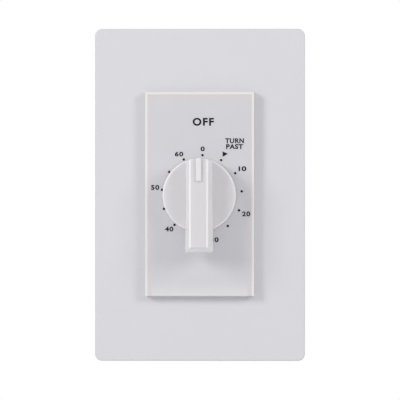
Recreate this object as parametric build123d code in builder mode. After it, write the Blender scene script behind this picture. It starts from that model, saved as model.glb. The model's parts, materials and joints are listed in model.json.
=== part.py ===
from build123d import *
import os
from math import acos, atan2, cos, degrees, pi, radians, sin, tan

# A spring-wound sixty-minute wall timer switch with a screwless one-gang wall plate.
# +Z is up and -Y faces the room. The origin is the middle of the mounting strap's back face,
# on the knob's axis, in the plane of the wall. All sizes are in millimetres and degrees.
# Depths are counted from the wall: positive towards the room, negative into the wall box.

# Wall plate
plate_width = 75.0
plate_height = 118.6
plate_depth = 7.6
plate_wall = 2.0
plate_corner = 2.6
plate_edge = 0.5
opening_width = 33.5
opening_height = 66.9
opening_corner = 0.6
frame_thickness = 2.0
frame_gap = 0.3
frame_opening_margin = 0.3
frame_corner = 1.6
snap_length = 9.0
snap_bite = 0.8
snap_thickness = 0.6
snap_gap = 0.1
snap_side_share = 0.3
snap_end_share = 0.2
plate_screw_spacing = 96.8
plate_screw_radius = 1.6
plate_screw_head_radius = 3.3
plate_screw_head_angle = 82.0
plate_screw_length = 9.0
screw_gap = 0.1
slot_width = 0.9
slot_depth = 0.7

# Mounting strap
strap_thickness = 1.2
strap_body_width = 42.0
strap_body_height = 63.0
strap_tab_width = 18.0
strap_length = 106.0
ear_width = 33.0
ear_height = 9.5
ear_notch_width = 1.2
ear_notch_depth = 2.4
strap_corner = 1.6
box_screw_spacing = 83.3
box_screw_radius = 1.75
box_screw_reach = 22.0
box_screw_head_radius = 3.4
box_screw_head_height = 2.0
box_slot_length = 6.4
box_slot_width = 4.2
box_screw_neck_radius = 1.3
retainer_thickness = 0.5
retainer_radius = 4.2
ground_screw_z = -35.6
ground_pad_margin = 4.2
ground_pad_width = 12.0
ground_screw_radius = 2.0
ground_head_radius = 3.6
ground_head_height = 2.2
ground_screw_gap = 2.0

# Dial plate and the adapter that carries it through the wall plate's opening
dial_width = 38.9
dial_height = 72.8
dial_rise = 0.3
dial_thickness = 3.9
dial_edge = 0.3
dial_gap = 0.1
dial_peg_radius = 1.5
dial_peg_length = 3.0
dial_peg_spacing = 52.0
adapter_clearance = 0.3
adapter_wall = 1.6
adapter_face = 1.8
adapter_rib = 1.2
adapter_rib_x = 6.5
adapter_boss_radius = 8.0
peg_clearance = 0.1

# Bushing, nut and washer on the knob's axis
bushing_radius = 4.75
bushing_clearance = 0.1
bushing_flange_radius = 7.0
bushing_flange_thickness = 1.4
bushing_spigot_radius = 4.2
bushing_spare = 0.6
washer_radius = 7.2
washer_thickness = 0.5
washer_tooth_depth = 1.1
washer_tooth_width = 0.9
washer_teeth = 12
nut_across_flats = 12.7
nut_thickness = 2.0
nut_edge = 0.4

# Knob
knob_radius = 13.0
knob_gap = 0.4
skirt_height = 7.5
skirt_wall = 1.8
skirt_face = 1.8
skirt_round = 0.9
bar_face_width = 6.7
bar_height = 8.5
bar_draft = 9.5
bar_length_below = 20.3
bar_round = 0.6
bar_root_round = 0.7
bar_toe_round = 1.3
bar_end_round = 1.6
bar_tail_depth = 2.0
pointer_width = 1.9
pointer_length = 8.2
pointer_height = 0.9
pointer_overhang = 0.1
pointer_round = 0.3
hub_radius = 5.4
shaft_flat = 1.5
shaft_fit = 0.04
shaft_tip_gap = 0.5
shaft_nose = 0.5
shaft_reach = 23.0
clip_thickness = 0.4
clip_width = 3.4
clip_length = 7.0
clip_pocket = 0.7
clip_side_gap = 0.2

# Timer case and lid
case_width = 44.5
case_height = 63.5
case_back = 30.0
case_wall = 1.75
case_floor = 1.5
case_corner = 2.0
case_inner_corner = 1.0
lid_thickness = 1.6
rivet_x = 11.5
rivet_z = 28.2
rivet_radius = 1.4
rivet_head_radius = 2.2
rivet_head_height = 0.8
rivet_boss_radius = 2.8
rivet_recess = 1.2
stop_pin_radius = 0.8
stop_pin_gap = 0.3

# Clockwork: the two brass plates and what holds them
movement_width = 39.0
movement_height = 49.2
movement_corner = 2.0
movement_plate_thickness = 1.0
movement_depth = 8.6
pillar_x = 17.0
pillar_z = 22.3
pillar_radius = 2.0
pillar_tenon_radius = 1.1
pillar_head_radius = 1.7
pillar_head_height = 0.4
movement_screw_z = 21.5
movement_screw_radius = 1.4
movement_screw_head_radius = 2.7
movement_screw_head_height = 1.4
spacer_radius = 2.6
plate_window_radius = 3.2
plate_window_x = 11.0
plate_window_z = 14.0

# Gear train: module, teeth and where each arbor stands
gear_module = 0.4
pressure_angle = 25.0
addendum_share = 0.9
dedendum_share = 1.25
tooth_slack = 0.12
pinion_teeth = 10
great_teeth = 60
second_teeth = 50
third_teeth = 45
second_direction = 110.0
third_direction = -5.0
escape_direction = -50.0
pallet_direction = -80.0
great_thickness = 1.4
wheel_thickness = 1.0
escape_thickness = 0.8
train_gap = 0.6
pinion_margin = 0.2
ratchet_thickness = 0.9
ratchet_gap = 0.5
great_gap = 0.2
wheel_window_count = 5
wheel_window_share = 0.22
wheel_window_place_share = 0.58
arbor_radius = 0.9
pivot_radius = 0.5
pivot_clearance = 0.05
arbor_shoulder_gap = 0.1
wheel_seat_radius = 1.3
wheel_seat_clearance = 0.02

# Click work on the great wheel
ratchet_radius = 5.4
ratchet_teeth = 20
ratchet_tooth_depth = 0.7
click_place = 9.4
click_hub_radius = 1.3
click_tooth = 2
click_tip_lag = 1.6
click_tip_gap = 0.24
click_tip_width = 0.7
click_pin_radius = 0.6
click_pin_head_radius = 1.0
click_pin_head_height = 0.25
click_spring_wire = 0.35
click_spring_gap = 0.12
click_spring_place = 8.6
click_spring_angle = 80.0
click_spring_touch_share = 0.3
click_spring_peg_radius = 0.3
great_window_angles = (140.0, 220.0)

# Escapement
escape_radius = 5.0
escape_teeth = 15
escape_tooth_depth = 1.5
escape_tooth_lean_share = 0.45
pallet_distance = 7.5
pallet_pin_radius = 0.35
pallet_pin_gap = 0.4
pallet_pin_angle = 40.0
pallet_thickness = 0.6
pallet_arm_width = 1.3
pallet_hub_radius = 1.9
pallet_layer_gap = 0.2
balance_radius = 4.2
balance_thickness = 2.0
balance_rim = 1.0
balance_spoke = 1.2

# Mainspring
spring_strip = 0.35
spring_width = 5.0
spring_half_turns = 16
spring_step = 0.475
spring_gap = 0.15
spring_layer_gap = 0.8
collar_radius = 4.3
spring_post_radius = 1.4
spring_post_gap = 0.12
spring_post_tenon_radius = 0.9
spring_hook_turn = 200.0

# Winding shaft
shaft_radius = 3.175
shaft_clearance = 0.05
shaft_seat_clearance = 0.02
shaft_end_gap = 0.6
retainer_ring_radius = 4.6
retainer_ring_thickness = 0.6
retainer_ring_gap_angle = 70.0
retainer_groove_depth = 0.5

# Switch: cam, blade, terminals
insulator_thickness = 0.6
insulator_margin = 0.5
insulator_gap = 0.8
insulator_hole_radius = 4.0
ledge_length = 8.0
ledge_depth = 1.5
cam_radius = 6.0
cam_thickness = 2.5
cam_gap = 1.5
cam_notch_depth = 1.7
cam_notch_angle = 34.0
cam_notch_floor_share = 0.35
blade_thickness = 0.4
blade_width = 3.0
blade_gap = 2.4
blade_bottom = 24.0
blade_top = 12.0
blade_nose_gap = 0.4
blade_nose_half_height = 3.2
blade_nose_share = 0.22
contact_radius = 1.3
contact_height = 0.8
contact_z = 10.0
contact_gap = 1.2
terminal_thickness = 0.8
terminal_width = 5.6
terminal_floor_gap = 1.5
terminal_slot_gap = 0.2
line_leg_bottom = 6.0
line_bridge_z = 15.0
load_bridge_z = 15.0
terminal_leg = 10.5
terminal_screw_offset = 5.6
terminal_screw_radius = 1.6
terminal_screw_reach = 3.6
terminal_head_radius = 3.0
terminal_head_height = 1.8
terminal_head_gap = 0.9
terminal_bend = 0.9
blade_rivet_z = 20.0
blade_rivet_radius = 0.7
blade_rivet_head_radius = 1.2
blade_rivet_head_height = 0.4

# Stop arm and travel: thirteen equal steps to the turn, twelve of them in use
dial_steps = 13
stop_radius = 6.5
stop_arm_width = 1.4
stop_arm_hub_radius = 4.6
stop_arm_thickness = 1.6
stop_arm_gap = 0.2
stop_arm_reach = 0.9
overrun = 1.0

full_turn = 360.0
travel = full_turn * (dial_steps - 1) / dial_steps
stop_half_angle = (full_turn - travel) / 2

# Depths worked out from the stack, towards the room
strap_front = strap_thickness
frame_front = strap_front + frame_thickness
adapter_front = plate_depth + dial_gap
dial_front = adapter_front + dial_thickness
washer_front = dial_front + washer_thickness
nut_front = washer_front + nut_thickness
bushing_front = nut_front + bushing_spare
knob_back = dial_front + knob_gap
skirt_front = knob_back + skirt_height
bar_front = skirt_front + bar_height
pointer_front = bar_front + pointer_height

# Depths into the wall box
lid_back = -lid_thickness
flange_back = lid_back - bushing_flange_thickness
front_plate_back = flange_back - movement_plate_thickness
ratchet_front = front_plate_back - ratchet_gap
ratchet_back = ratchet_front - ratchet_thickness
great_front = ratchet_back - great_gap
great_back = great_front - great_thickness
second_front = great_back - train_gap
second_back = second_front - wheel_thickness
third_front = second_back - train_gap
third_back = third_front - wheel_thickness
escape_front = third_back - train_gap
escape_back = escape_front - escape_thickness
pallet_front = escape_back - pallet_layer_gap
pallet_back = pallet_front - pallet_thickness
back_plate_front = front_plate_back - movement_depth
back_plate_back = back_plate_front - movement_plate_thickness
spring_front = back_plate_back - spring_layer_gap
spring_back = spring_front - spring_width
insulator_front = spring_back - insulator_gap
insulator_back = insulator_front - insulator_thickness
cam_front = insulator_back - cam_gap
cam_back = cam_front - cam_thickness
stop_arm_front = cam_back - stop_arm_gap
stop_arm_back = stop_arm_front - stop_arm_thickness
ring_front = stop_arm_back - stop_arm_gap
ring_back = ring_front - retainer_ring_thickness
shaft_back = ring_back - shaft_end_gap
case_floor_front = case_floor - case_back

# Gear sizes and arbor places, seen from the room: x to the right and z up
great_pitch_radius = gear_module * great_teeth / 2
second_pitch_radius = gear_module * second_teeth / 2
third_pitch_radius = gear_module * third_teeth / 2
pinion_pitch_radius = gear_module * pinion_teeth / 2


def polar(radius, angle, centre=(0, 0)):
    """The point at a radius and an angle from a centre."""
    return (centre[0] + radius * cos(radians(angle)), centre[1] + radius * sin(radians(angle)))


second_place = polar(great_pitch_radius + pinion_pitch_radius, second_direction)
third_place = polar(second_pitch_radius + pinion_pitch_radius, third_direction, second_place)
escape_place = polar(third_pitch_radius + pinion_pitch_radius, escape_direction, third_place)
pallet_place = polar(pallet_distance, pallet_direction, escape_place)
wheel_phase = 0


def level(depth):
    """A plane parallel to the wall, at a depth counted towards the room."""
    return Plane.XZ.offset(depth)


def raise_round(back, front, radius, places=((0, 0),), mode=Mode.ADD):
    """Cylinders along the knob's axis, from one depth to another."""
    with BuildSketch(level(back)) as profile:
        with Locations(*places):
            Circle(radius)
    extrude(to_extrude=profile.sketch, amount=front - back, mode=mode)


def raise_block(back, front, width, height, places=((0, 0),), corner=0, mode=Mode.ADD):
    """Rectangular blocks along the knob's axis, their corners rounded where a radius is given."""
    with BuildSketch(level(back)) as profile:
        with Locations(*places):
            if corner > 0:
                RectangleRounded(width, height, corner)
            else:
                Rectangle(width, height)
    extrude(to_extrude=profile.sketch, amount=front - back, mode=mode)


def half_tooth_angle(teeth, radius):
    """Half the angle that a tooth fills at a radius, in radians."""
    pitch_radius = gear_module * teeth / 2
    base_radius = pitch_radius * cos(radians(pressure_angle))
    half_at_pitch = (pi * gear_module - tooth_slack) / (4 * pitch_radius)
    lean = acos(min(1, base_radius / radius))
    return half_at_pitch + tan(radians(pressure_angle)) - radians(pressure_angle) - tan(lean) + lean


def gear_outline(teeth, centre, phase):
    """Draws a gear's closed outline in the open line builder; phase is the angle of one tooth."""
    pitch_radius = gear_module * teeth / 2
    base_radius = pitch_radius * cos(radians(pressure_angle))
    tip_radius = pitch_radius + addendum_share * gear_module
    root_radius = pitch_radius - dedendum_share * gear_module
    flank_start = max(root_radius, base_radius)
    flank_middle = (flank_start + tip_radius) / 2
    step = full_turn / teeth
    foot = degrees(half_tooth_angle(teeth, flank_start))
    waist = degrees(half_tooth_angle(teeth, flank_middle))
    crest = degrees(half_tooth_angle(teeth, tip_radius))
    for index in range(teeth):
        middle = phase + index * step
        rising = [
            polar(flank_start, middle - foot, centre),
            polar(flank_middle, middle - waist, centre),
            polar(tip_radius, middle - crest, centre),
        ]
        falling = [
            polar(tip_radius, middle + crest, centre),
            polar(flank_middle, middle + waist, centre),
            polar(flank_start, middle + foot, centre),
        ]
        root_left = polar(root_radius, middle - foot, centre)
        root_right = polar(root_radius, middle + foot, centre)
        root_next = polar(root_radius, middle + step - foot, centre)
        if root_radius < flank_start:
            Line(root_left, rising[0])
        ThreePointArc(*rising)
        ThreePointArc(rising[2], polar(tip_radius, middle, centre), falling[0])
        ThreePointArc(*falling)
        if root_radius < flank_start:
            Line(falling[2], root_right)
        ThreePointArc(root_right, polar(root_radius, middle + step / 2, centre), root_next)


def raise_gear(back, front, teeth, centre, phase):
    """A toothed disc or pinion from one depth to another."""
    with BuildSketch(level(back)) as profile:
        with BuildLine():
            gear_outline(teeth, centre, phase)
        make_face()
    extrude(to_extrude=profile.sketch, amount=front - back)


def meshing_phase(driver_teeth, driver_phase, driven_teeth, direction):
    """The driven gear's phase that puts a gap where the driver's tooth is, in that direction."""
    driver_step = full_turn / driver_teeth
    driven_step = full_turn / driven_teeth
    share = ((direction - driver_phase) % driver_step) / driver_step
    return direction + full_turn / 2 + share * driven_step + driven_step / 2


def raise_arbor(centre, pinion_back, pinion_front, phase):
    """An arbor between the plates with its two pivots, and a pinion cut on it."""
    shoulder_front = front_plate_back - arbor_shoulder_gap
    shoulder_back = back_plate_front + arbor_shoulder_gap
    raise_round(shoulder_back, shoulder_front, arbor_radius, (centre,))
    raise_round(back_plate_back, flange_back, pivot_radius, (centre,))
    if pinion_front > pinion_back:
        raise_gear(pinion_back, pinion_front, pinion_teeth, centre, phase)


def save(piece, name):
    """Labels a finished piece and writes it under its own name."""
    piece.part.label = name
    export_step(piece.part, f"parts/{name}.step")


os.makedirs("parts", exist_ok=True)

# Wall plate cover: a screwless shell that hides the strap and snaps over the frame
frame_width = plate_width - 2 * (plate_wall + frame_gap)
frame_height = plate_height - 2 * (plate_wall + frame_gap)
snap_places_z = [plate_height * snap_side_share, -plate_height * snap_side_share]
snap_places_x = [plate_width * snap_end_share, -plate_width * snap_end_share]
snap_front = strap_front - snap_gap
snap_back = snap_front - snap_thickness
inner_half_width = plate_width / 2 - plate_wall
inner_half_height = plate_height / 2 - plate_wall

with BuildPart() as wall_plate_cover:
    raise_block(0, plate_depth, plate_width, plate_height, corner=plate_corner)
    front_rim = wall_plate_cover.faces().sort_by(Axis.Y)[0].edges()
    fillet(front_rim, radius=plate_edge)
    raise_block(
        0,
        plate_depth - plate_wall,
        2 * inner_half_width,
        2 * inner_half_height,
        corner=plate_corner - plate_wall / 2,
        mode=Mode.SUBTRACT,
    )
    raise_block(
        0,
        plate_depth + overrun,
        opening_width,
        opening_height,
        corner=opening_corner,
        mode=Mode.SUBTRACT,
    )
    for side in (-1, 1):
        side_places = [(side * (inner_half_width - snap_bite / 2), z) for z in snap_places_z]
        raise_block(snap_back, snap_front, snap_bite, snap_length, side_places)
        end_places = [(x, side * (inner_half_height - snap_bite / 2)) for x in snap_places_x]
        raise_block(snap_back, snap_front, snap_length, snap_bite, end_places)
save(wall_plate_cover, "wall_plate_cover")

# Wall plate frame: the flat plate that two countersunk screws hold to the strap
plate_screw_places = [(0, plate_screw_spacing / 2), (0, -plate_screw_spacing / 2)]
box_screw_places = [(0, box_screw_spacing / 2), (0, -box_screw_spacing / 2)]

with BuildPart() as wall_plate_frame:
    raise_block(strap_front, frame_front, frame_width, frame_height, corner=frame_corner)
    raise_block(
        strap_front,
        frame_front,
        opening_width + 2 * frame_opening_margin,
        opening_height + 2 * frame_opening_margin,
        corner=opening_corner,
        mode=Mode.SUBTRACT,
    )
    raise_round(
        strap_front, frame_front, retainer_radius + overrun, box_screw_places, Mode.SUBTRACT
    )
    with Locations(level(frame_front)):
        with Locations(*plate_screw_places):
            CounterSinkHole(
                radius=plate_screw_radius + screw_gap,
                counter_sink_radius=plate_screw_head_radius + screw_gap,
                counter_sink_angle=plate_screw_head_angle,
            )
save(wall_plate_frame, "wall_plate_frame")

# Wall plate screws: flat heads flush in the frame, threaded into the strap
plate_screw_cone = (plate_screw_head_radius - plate_screw_radius) / tan(
    radians(plate_screw_head_angle / 2)
)
with BuildPart() as wall_plate_screws:
    for place in plate_screw_places:
        raise_round(
            frame_front - plate_screw_length, frame_front, plate_screw_radius, (place,)
        )
        with BuildSketch(level(frame_front)) as head:
            with Locations(place):
                Circle(plate_screw_head_radius)
        with BuildSketch(level(frame_front - plate_screw_cone)) as neck:
            with Locations(place):
                Circle(plate_screw_radius)
        loft(sections=[neck.sketch, head.sketch])
        raise_block(
            frame_front - slot_depth,
            frame_front,
            2 * plate_screw_head_radius,
            slot_width,
            (place,),
            mode=Mode.SUBTRACT,
        )
save(wall_plate_screws, "wall_plate_screws")

# Mounting strap: plated steel, with plaster ears, box screw slots and tapped holes
rivet_places = [(x, z) for x in (-rivet_x, rivet_x) for z in (-rivet_z, rivet_z)]
movement_screw_places = [(0, movement_screw_z), (0, -movement_screw_z)]
ground_place = ((strap_body_width - ground_pad_width) / 2, ground_screw_z)
body_x = strap_body_width / 2
body_z = strap_body_height / 2
tab_x = strap_tab_width / 2
ear_x = ear_width / 2
ear_end_z = strap_length / 2
ear_root_z = ear_end_z - ear_height
pad_z = ground_screw_z - ground_pad_margin
strap_corners = [
    (-body_x, -body_z),
    (-tab_x, -body_z),
    (-tab_x, -ear_root_z),
    (-ear_x, -ear_root_z),
    (-ear_x, -ear_end_z),
    (ear_x, -ear_end_z),
    (ear_x, -ear_root_z),
    (tab_x, -ear_root_z),
    (tab_x, pad_z),
    (body_x, pad_z),
    (body_x, body_z),
    (tab_x, body_z),
    (tab_x, ear_root_z),
    (ear_x, ear_root_z),
    (ear_x, ear_end_z),
    (-ear_x, ear_end_z),
    (-ear_x, ear_root_z),
    (-tab_x, ear_root_z),
    (-tab_x, body_z),
    (-body_x, body_z),
]

with BuildPart() as mounting_strap:
    with BuildSketch(level(0)) as strap_outline:
        with BuildLine():
            FilletPolyline(*strap_corners, radius=strap_corner, close=True)
        make_face()
        notch_places = [
            (x, z)
            for x in (-strap_tab_width / 2, strap_tab_width / 2)
            for z in (-(strap_length - ear_notch_depth) / 2, (strap_length - ear_notch_depth) / 2)
        ]
        with Locations(*notch_places):
            Rectangle(ear_notch_width, ear_notch_depth, mode=Mode.SUBTRACT)
        with Locations(*box_screw_places):
            SlotOverall(box_slot_length, box_slot_width, mode=Mode.SUBTRACT)
        with Locations(*plate_screw_places):
            Circle(plate_screw_radius + screw_gap / 2, mode=Mode.SUBTRACT)
        with Locations(*rivet_places):
            Circle(rivet_radius + screw_gap, mode=Mode.SUBTRACT)
        with Locations(*movement_screw_places):
            Circle(movement_screw_radius + screw_gap, mode=Mode.SUBTRACT)
        with Locations(ground_place):
            Circle(ground_screw_radius + screw_gap / 2, mode=Mode.SUBTRACT)
        Circle(bushing_radius + bushing_clearance, mode=Mode.SUBTRACT)
    extrude(amount=strap_thickness)
save(mounting_strap, "mounting_strap")

# Box screws: they reach back into the wall box's lugs, and their thin necks keep them in the strap
retainer_front = strap_front + retainer_thickness
box_screw_front = retainer_front + box_screw_head_height
with BuildPart() as strap_screws:
    raise_round(-box_screw_reach, 0, box_screw_radius, box_screw_places)
    raise_round(0, retainer_front, box_screw_neck_radius, box_screw_places)
    for place in box_screw_places:
        raise_round(retainer_front, box_screw_front, box_screw_head_radius, (place,))
    head_rims = strap_screws.edges().filter_by(GeomType.CIRCLE).group_by(Axis.Y)[0]
    fillet(head_rims, radius=box_screw_head_height / 2)
    raise_block(
        box_screw_front - slot_depth,
        box_screw_front,
        2 * box_screw_head_radius,
        slot_width,
        box_screw_places,
        mode=Mode.SUBTRACT,
    )
    tip_rims = strap_screws.edges().filter_by(GeomType.CIRCLE).group_by(Axis.Y)[-1]
    chamfer(tip_rims, length=box_screw_radius / 4)
save(strap_screws, "strap_screws")

# Screw retainers: moulded plugs in the strap's slots, each with a flange under the screw's head
with BuildPart() as screw_retainers:
    with BuildSketch(level(0)):
        with Locations(*box_screw_places):
            SlotOverall(box_slot_length - 2 * screw_gap, box_slot_width - 2 * screw_gap)
    extrude(amount=strap_thickness)
    raise_round(strap_front, retainer_front, retainer_radius, box_screw_places)
    raise_round(
        0, retainer_front, box_screw_neck_radius + screw_gap, box_screw_places, Mode.SUBTRACT
    )
save(screw_retainers, "screw_retainers")

# Ground screw: threaded into the strap from behind, its head clamps the bare wire
ground_head_front = -ground_screw_gap
ground_head_back = ground_head_front - ground_head_height
with BuildPart() as ground_screw:
    raise_round(ground_head_front, strap_front, ground_screw_radius, (ground_place,))
    with BuildSketch(level(ground_head_back)) as ground_head:
        with Locations(ground_place):
            RegularPolygon(ground_head_radius, 6)
    extrude(to_extrude=ground_head.sketch, amount=ground_head_height)
    raise_block(
        ground_head_back,
        ground_head_back + slot_depth,
        2 * ground_head_radius,
        slot_width,
        (ground_place,),
        mode=Mode.SUBTRACT,
    )
save(ground_screw, "ground_screw")

# Dial adapter: a hollow moulded block that fills the wall plate's opening
adapter_width = opening_width - 2 * adapter_clearance
adapter_height = opening_height - 2 * adapter_clearance
adapter_inside = adapter_front - adapter_face
peg_places = [(0, dial_peg_spacing / 2), (0, -dial_peg_spacing / 2)]

with BuildPart() as dial_adapter:
    raise_block(strap_front, adapter_front, adapter_width, adapter_height, corner=opening_corner)
    raise_block(
        strap_front,
        adapter_inside,
        adapter_width - 2 * adapter_wall,
        adapter_height - 2 * adapter_wall,
        mode=Mode.SUBTRACT,
    )
    rib_places = [(-adapter_rib_x, 0), (adapter_rib_x, 0)]
    raise_block(strap_front, adapter_inside, adapter_rib, adapter_height - adapter_wall, rib_places)
    raise_block(strap_front, adapter_inside, adapter_width - adapter_wall, adapter_rib)
    raise_round(strap_front, adapter_inside, adapter_boss_radius)
    raise_round(
        strap_front, adapter_front, bushing_radius + bushing_clearance, mode=Mode.SUBTRACT
    )
    raise_round(
        adapter_inside, adapter_front, dial_peg_radius + peg_clearance, peg_places, Mode.SUBTRACT
    )
save(dial_adapter, "dial_adapter")

# Dial plate: the milky acrylic slab that carries the printed scale
with BuildPart() as dial_plate:
    raise_block(adapter_front, dial_front, dial_width, dial_height, ((0, dial_rise),))
    dial_rim = dial_plate.faces().sort_by(Axis.Y)[0].edges()
    dial_corners = dial_plate.edges().filter_by(Axis.Y)
    chamfer([*dial_rim, *dial_corners], length=dial_edge)
    raise_round(adapter_front - dial_peg_length, adapter_front, dial_peg_radius, peg_places)
    raise_round(
        adapter_front, dial_front, bushing_radius + bushing_clearance, mode=Mode.SUBTRACT
    )
save(dial_plate, "dial_plate")

# Lock washer with internal teeth, and the hex nut that clamps the dial
with BuildPart() as lock_washer:
    raise_round(dial_front, washer_front, washer_radius)
    raise_round(
        dial_front, washer_front, bushing_radius + bushing_clearance, mode=Mode.SUBTRACT
    )
    tooth_middle = bushing_radius + washer_tooth_depth / 2
    with BuildSketch(level(dial_front)) as tooth_gaps:
        with PolarLocations(tooth_middle, washer_teeth):
            Rectangle(washer_tooth_depth, washer_tooth_width)
    extrude(to_extrude=tooth_gaps.sketch, amount=washer_thickness, mode=Mode.SUBTRACT)
save(lock_washer, "lock_washer")

with BuildPart() as bushing_nut:
    with BuildSketch(level(washer_front)) as nut_outline:
        RegularPolygon(nut_across_flats / 2, 6, major_radius=False)
        Circle(bushing_radius + shaft_seat_clearance, mode=Mode.SUBTRACT)
    extrude(amount=nut_thickness)
    bore_edge = bushing_nut.edges().filter_by(GeomType.CIRCLE).sort_by(Axis.Y)[0]
    chamfer(bore_edge, length=nut_edge)
save(bushing_nut, "bushing_nut")

# Threaded bushing: riveted in the front plate, the shaft's front bearing
with BuildPart() as threaded_bushing:
    raise_round(flange_back, lid_back, bushing_flange_radius)
    raise_round(lid_back, bushing_front, bushing_radius)
    raise_round(front_plate_back, flange_back, bushing_spigot_radius)
    raise_round(
        front_plate_back, bushing_front, shaft_radius + shaft_clearance, mode=Mode.SUBTRACT
    )
    nose_edge = threaded_bushing.edges().filter_by(GeomType.CIRCLE).group_by(Axis.Y)[0]
    chamfer(nose_edge.sort_by(SortBy.RADIUS)[-1], length=bushing_spare / 2)
save(threaded_bushing, "threaded_bushing")

# Knob: a round skirt with a tall drafted grip bar that runs on below it, clear of the dial, and
# a pointer rib
bar_slope = tan(radians(bar_draft))
bar_base_half = bar_face_width / 2 + bar_height * bar_slope
root_run = bar_root_round * tan(radians((full_turn / 4 - bar_draft) / 2))
root_top_half = bar_base_half - root_run * sin(radians(bar_draft))
root_top_y = -(skirt_front + root_run * cos(radians(bar_draft)))
root_right = (bar_base_half + root_run, -skirt_front)
root_left = (-bar_base_half - root_run, -skirt_front)
root_top_right = (root_top_half, root_top_y)
root_top_left = (-root_top_half, root_top_y)
bar_foot = skirt_front - skirt_round
tail_back = skirt_front - bar_tail_depth
bar_foot_growth = (bar_front - bar_foot) * bar_slope
bar_foot_width = bar_face_width + 2 * bar_foot_growth
bar_face_bottom = bar_length_below - bar_foot_growth
bar_top = knob_radius + bar_height
bar_foot_length = bar_length_below + bar_top
bar_foot_middle = (bar_top - bar_length_below) / 2
bar_face_length = bar_face_bottom + bar_top
bar_face_middle = (bar_top - bar_face_bottom) / 2
pointer_top = knob_radius + pointer_overhang
pointer_middle = pointer_top - pointer_length / 2
hub_back = bushing_front + shaft_tip_gap
bore_front = shaft_reach + shaft_tip_gap
cavity_front = skirt_front - skirt_face
cavity_radius = knob_radius - skirt_wall

with BuildPart() as knob:
    raise_round(knob_back, skirt_front, knob_radius)
    skirt_rim = knob.edges().filter_by(GeomType.CIRCLE).sort_by(Axis.Y)[0]
    fillet(skirt_rim, radius=skirt_round)
    with BuildSketch(level(bar_foot)) as grip_foot:
        with Locations((0, bar_foot_middle)):
            Rectangle(bar_foot_width, bar_foot_length)
    with BuildSketch(level(bar_front)) as grip_face:
        with Locations((0, bar_face_middle)):
            Rectangle(bar_face_width, bar_face_length)
    with BuildSketch(level(bar_foot)) as grip_limit:
        Circle(knob_radius)
        with Locations((0, -bar_foot_length / 2)):
            Rectangle(bar_foot_length, bar_foot_length)
    with BuildPart(mode=Mode.PRIVATE) as grip:
        loft(sections=[grip_foot.sketch, grip_face.sketch], ruled=True)
        extrude(to_extrude=grip_limit.sketch, amount=bar_front - bar_foot, mode=Mode.INTERSECT)
        toe = grip.edges().group_by(Axis.Y)[0].sort_by(Axis.Z)[0]
        fillet(toe, radius=bar_toe_round)
        long_edges = grip.edges().filter_by(Axis.Z).group_by(Axis.Y)[0]
        fillet(long_edges, radius=bar_round)
    add(grip.part)
    with BuildSketch(Plane.XY.offset(-knob_radius)) as root_profile:
        with BuildLine():
            TangentArc(root_right, root_top_right, tangent=(-1, 0))
            Line(root_top_right, root_top_left)
            TangentArc(root_left, root_top_left, tangent=(1, 0))
            Line(root_left, root_right)
        make_face()
    with BuildSketch(level(skirt_front)) as root_limit:
        Circle(knob_radius - skirt_round)
    with BuildPart(mode=Mode.PRIVATE) as root:
        extrude(to_extrude=root_profile.sketch, amount=2 * knob_radius)
        extrude(to_extrude=root_limit.sketch, amount=bar_height, mode=Mode.INTERSECT)
    add(root.part)
    with BuildSketch(level(tail_back)) as tail_outline:
        with Locations((0, -bar_length_below / 2)):
            Rectangle(bar_foot_width, bar_length_below)
        fillet(tail_outline.vertices().group_by(Axis.Z)[0], radius=bar_end_round)
    extrude(to_extrude=tail_outline.sketch, amount=bar_foot - tail_back)
    raise_block(
        bar_front - pointer_height,
        pointer_front,
        pointer_width,
        pointer_length,
        ((0, pointer_middle),),
        corner=pointer_round,
    )
    raise_round(knob_back, cavity_front, cavity_radius, mode=Mode.SUBTRACT)
    raise_round(hub_back, cavity_front, hub_radius)
    with BuildSketch(level(hub_back)) as bore:
        Circle(shaft_radius + shaft_fit)
        with Locations((0, shaft_radius + shaft_fit - shaft_flat + shaft_radius / 2)):
            Rectangle(2 * shaft_radius + overrun, shaft_radius, mode=Mode.SUBTRACT)
    extrude(to_extrude=bore.sketch, amount=bore_front - hub_back, mode=Mode.SUBTRACT)
    clip_pocket_middle = shaft_radius + shaft_fit - shaft_flat + clip_pocket / 2
    raise_block(
        hub_back,
        hub_back + clip_length + clip_side_gap,
        clip_width + 2 * clip_side_gap,
        clip_pocket,
        ((0, clip_pocket_middle),),
        mode=Mode.SUBTRACT,
    )
save(knob, "knob")

# Knob clip: a bowed leaf between the shaft's flat and the knob's bore
clip_bottom = shaft_radius - shaft_flat + shaft_fit + shaft_clearance
clip_middle_depth = hub_back + clip_length / 2
clip_bow = clip_pocket - clip_thickness - shaft_clearance
with BuildPart() as knob_clip:
    with BuildSketch(Plane.YZ.offset(-clip_width / 2)) as clip_profile:
        with BuildLine():
            clip_start = (-hub_back, clip_bottom)
            clip_end = (-(hub_back + clip_length), clip_bottom)
            clip_top = (-clip_middle_depth, clip_bottom + clip_bow)
            inner_arc = ThreePointArc(clip_start, clip_top, clip_end)
            Line(clip_end, (clip_end[0], clip_end[1] + clip_thickness))
            ThreePointArc(
                (clip_end[0], clip_end[1] + clip_thickness),
                (clip_top[0], clip_top[1] + clip_thickness),
                (clip_start[0], clip_start[1] + clip_thickness),
            )
            Line((clip_start[0], clip_start[1] + clip_thickness), clip_start)
        make_face()
    extrude(amount=clip_width)
save(knob_clip, "knob_clip")

# Case lid: the insulating front cover of the clockwork
with BuildPart() as case_lid:
    raise_block(lid_back, 0, case_width, case_height, corner=case_corner)
    raise_round(lid_back, 0, rivet_radius + screw_gap, rivet_places, Mode.SUBTRACT)
    raise_round(
        lid_back, 0, movement_screw_radius + screw_gap, movement_screw_places, Mode.SUBTRACT
    )
    raise_round(lid_back, 0, bushing_radius + bushing_clearance, mode=Mode.SUBTRACT)
save(case_lid, "case_lid")

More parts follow.
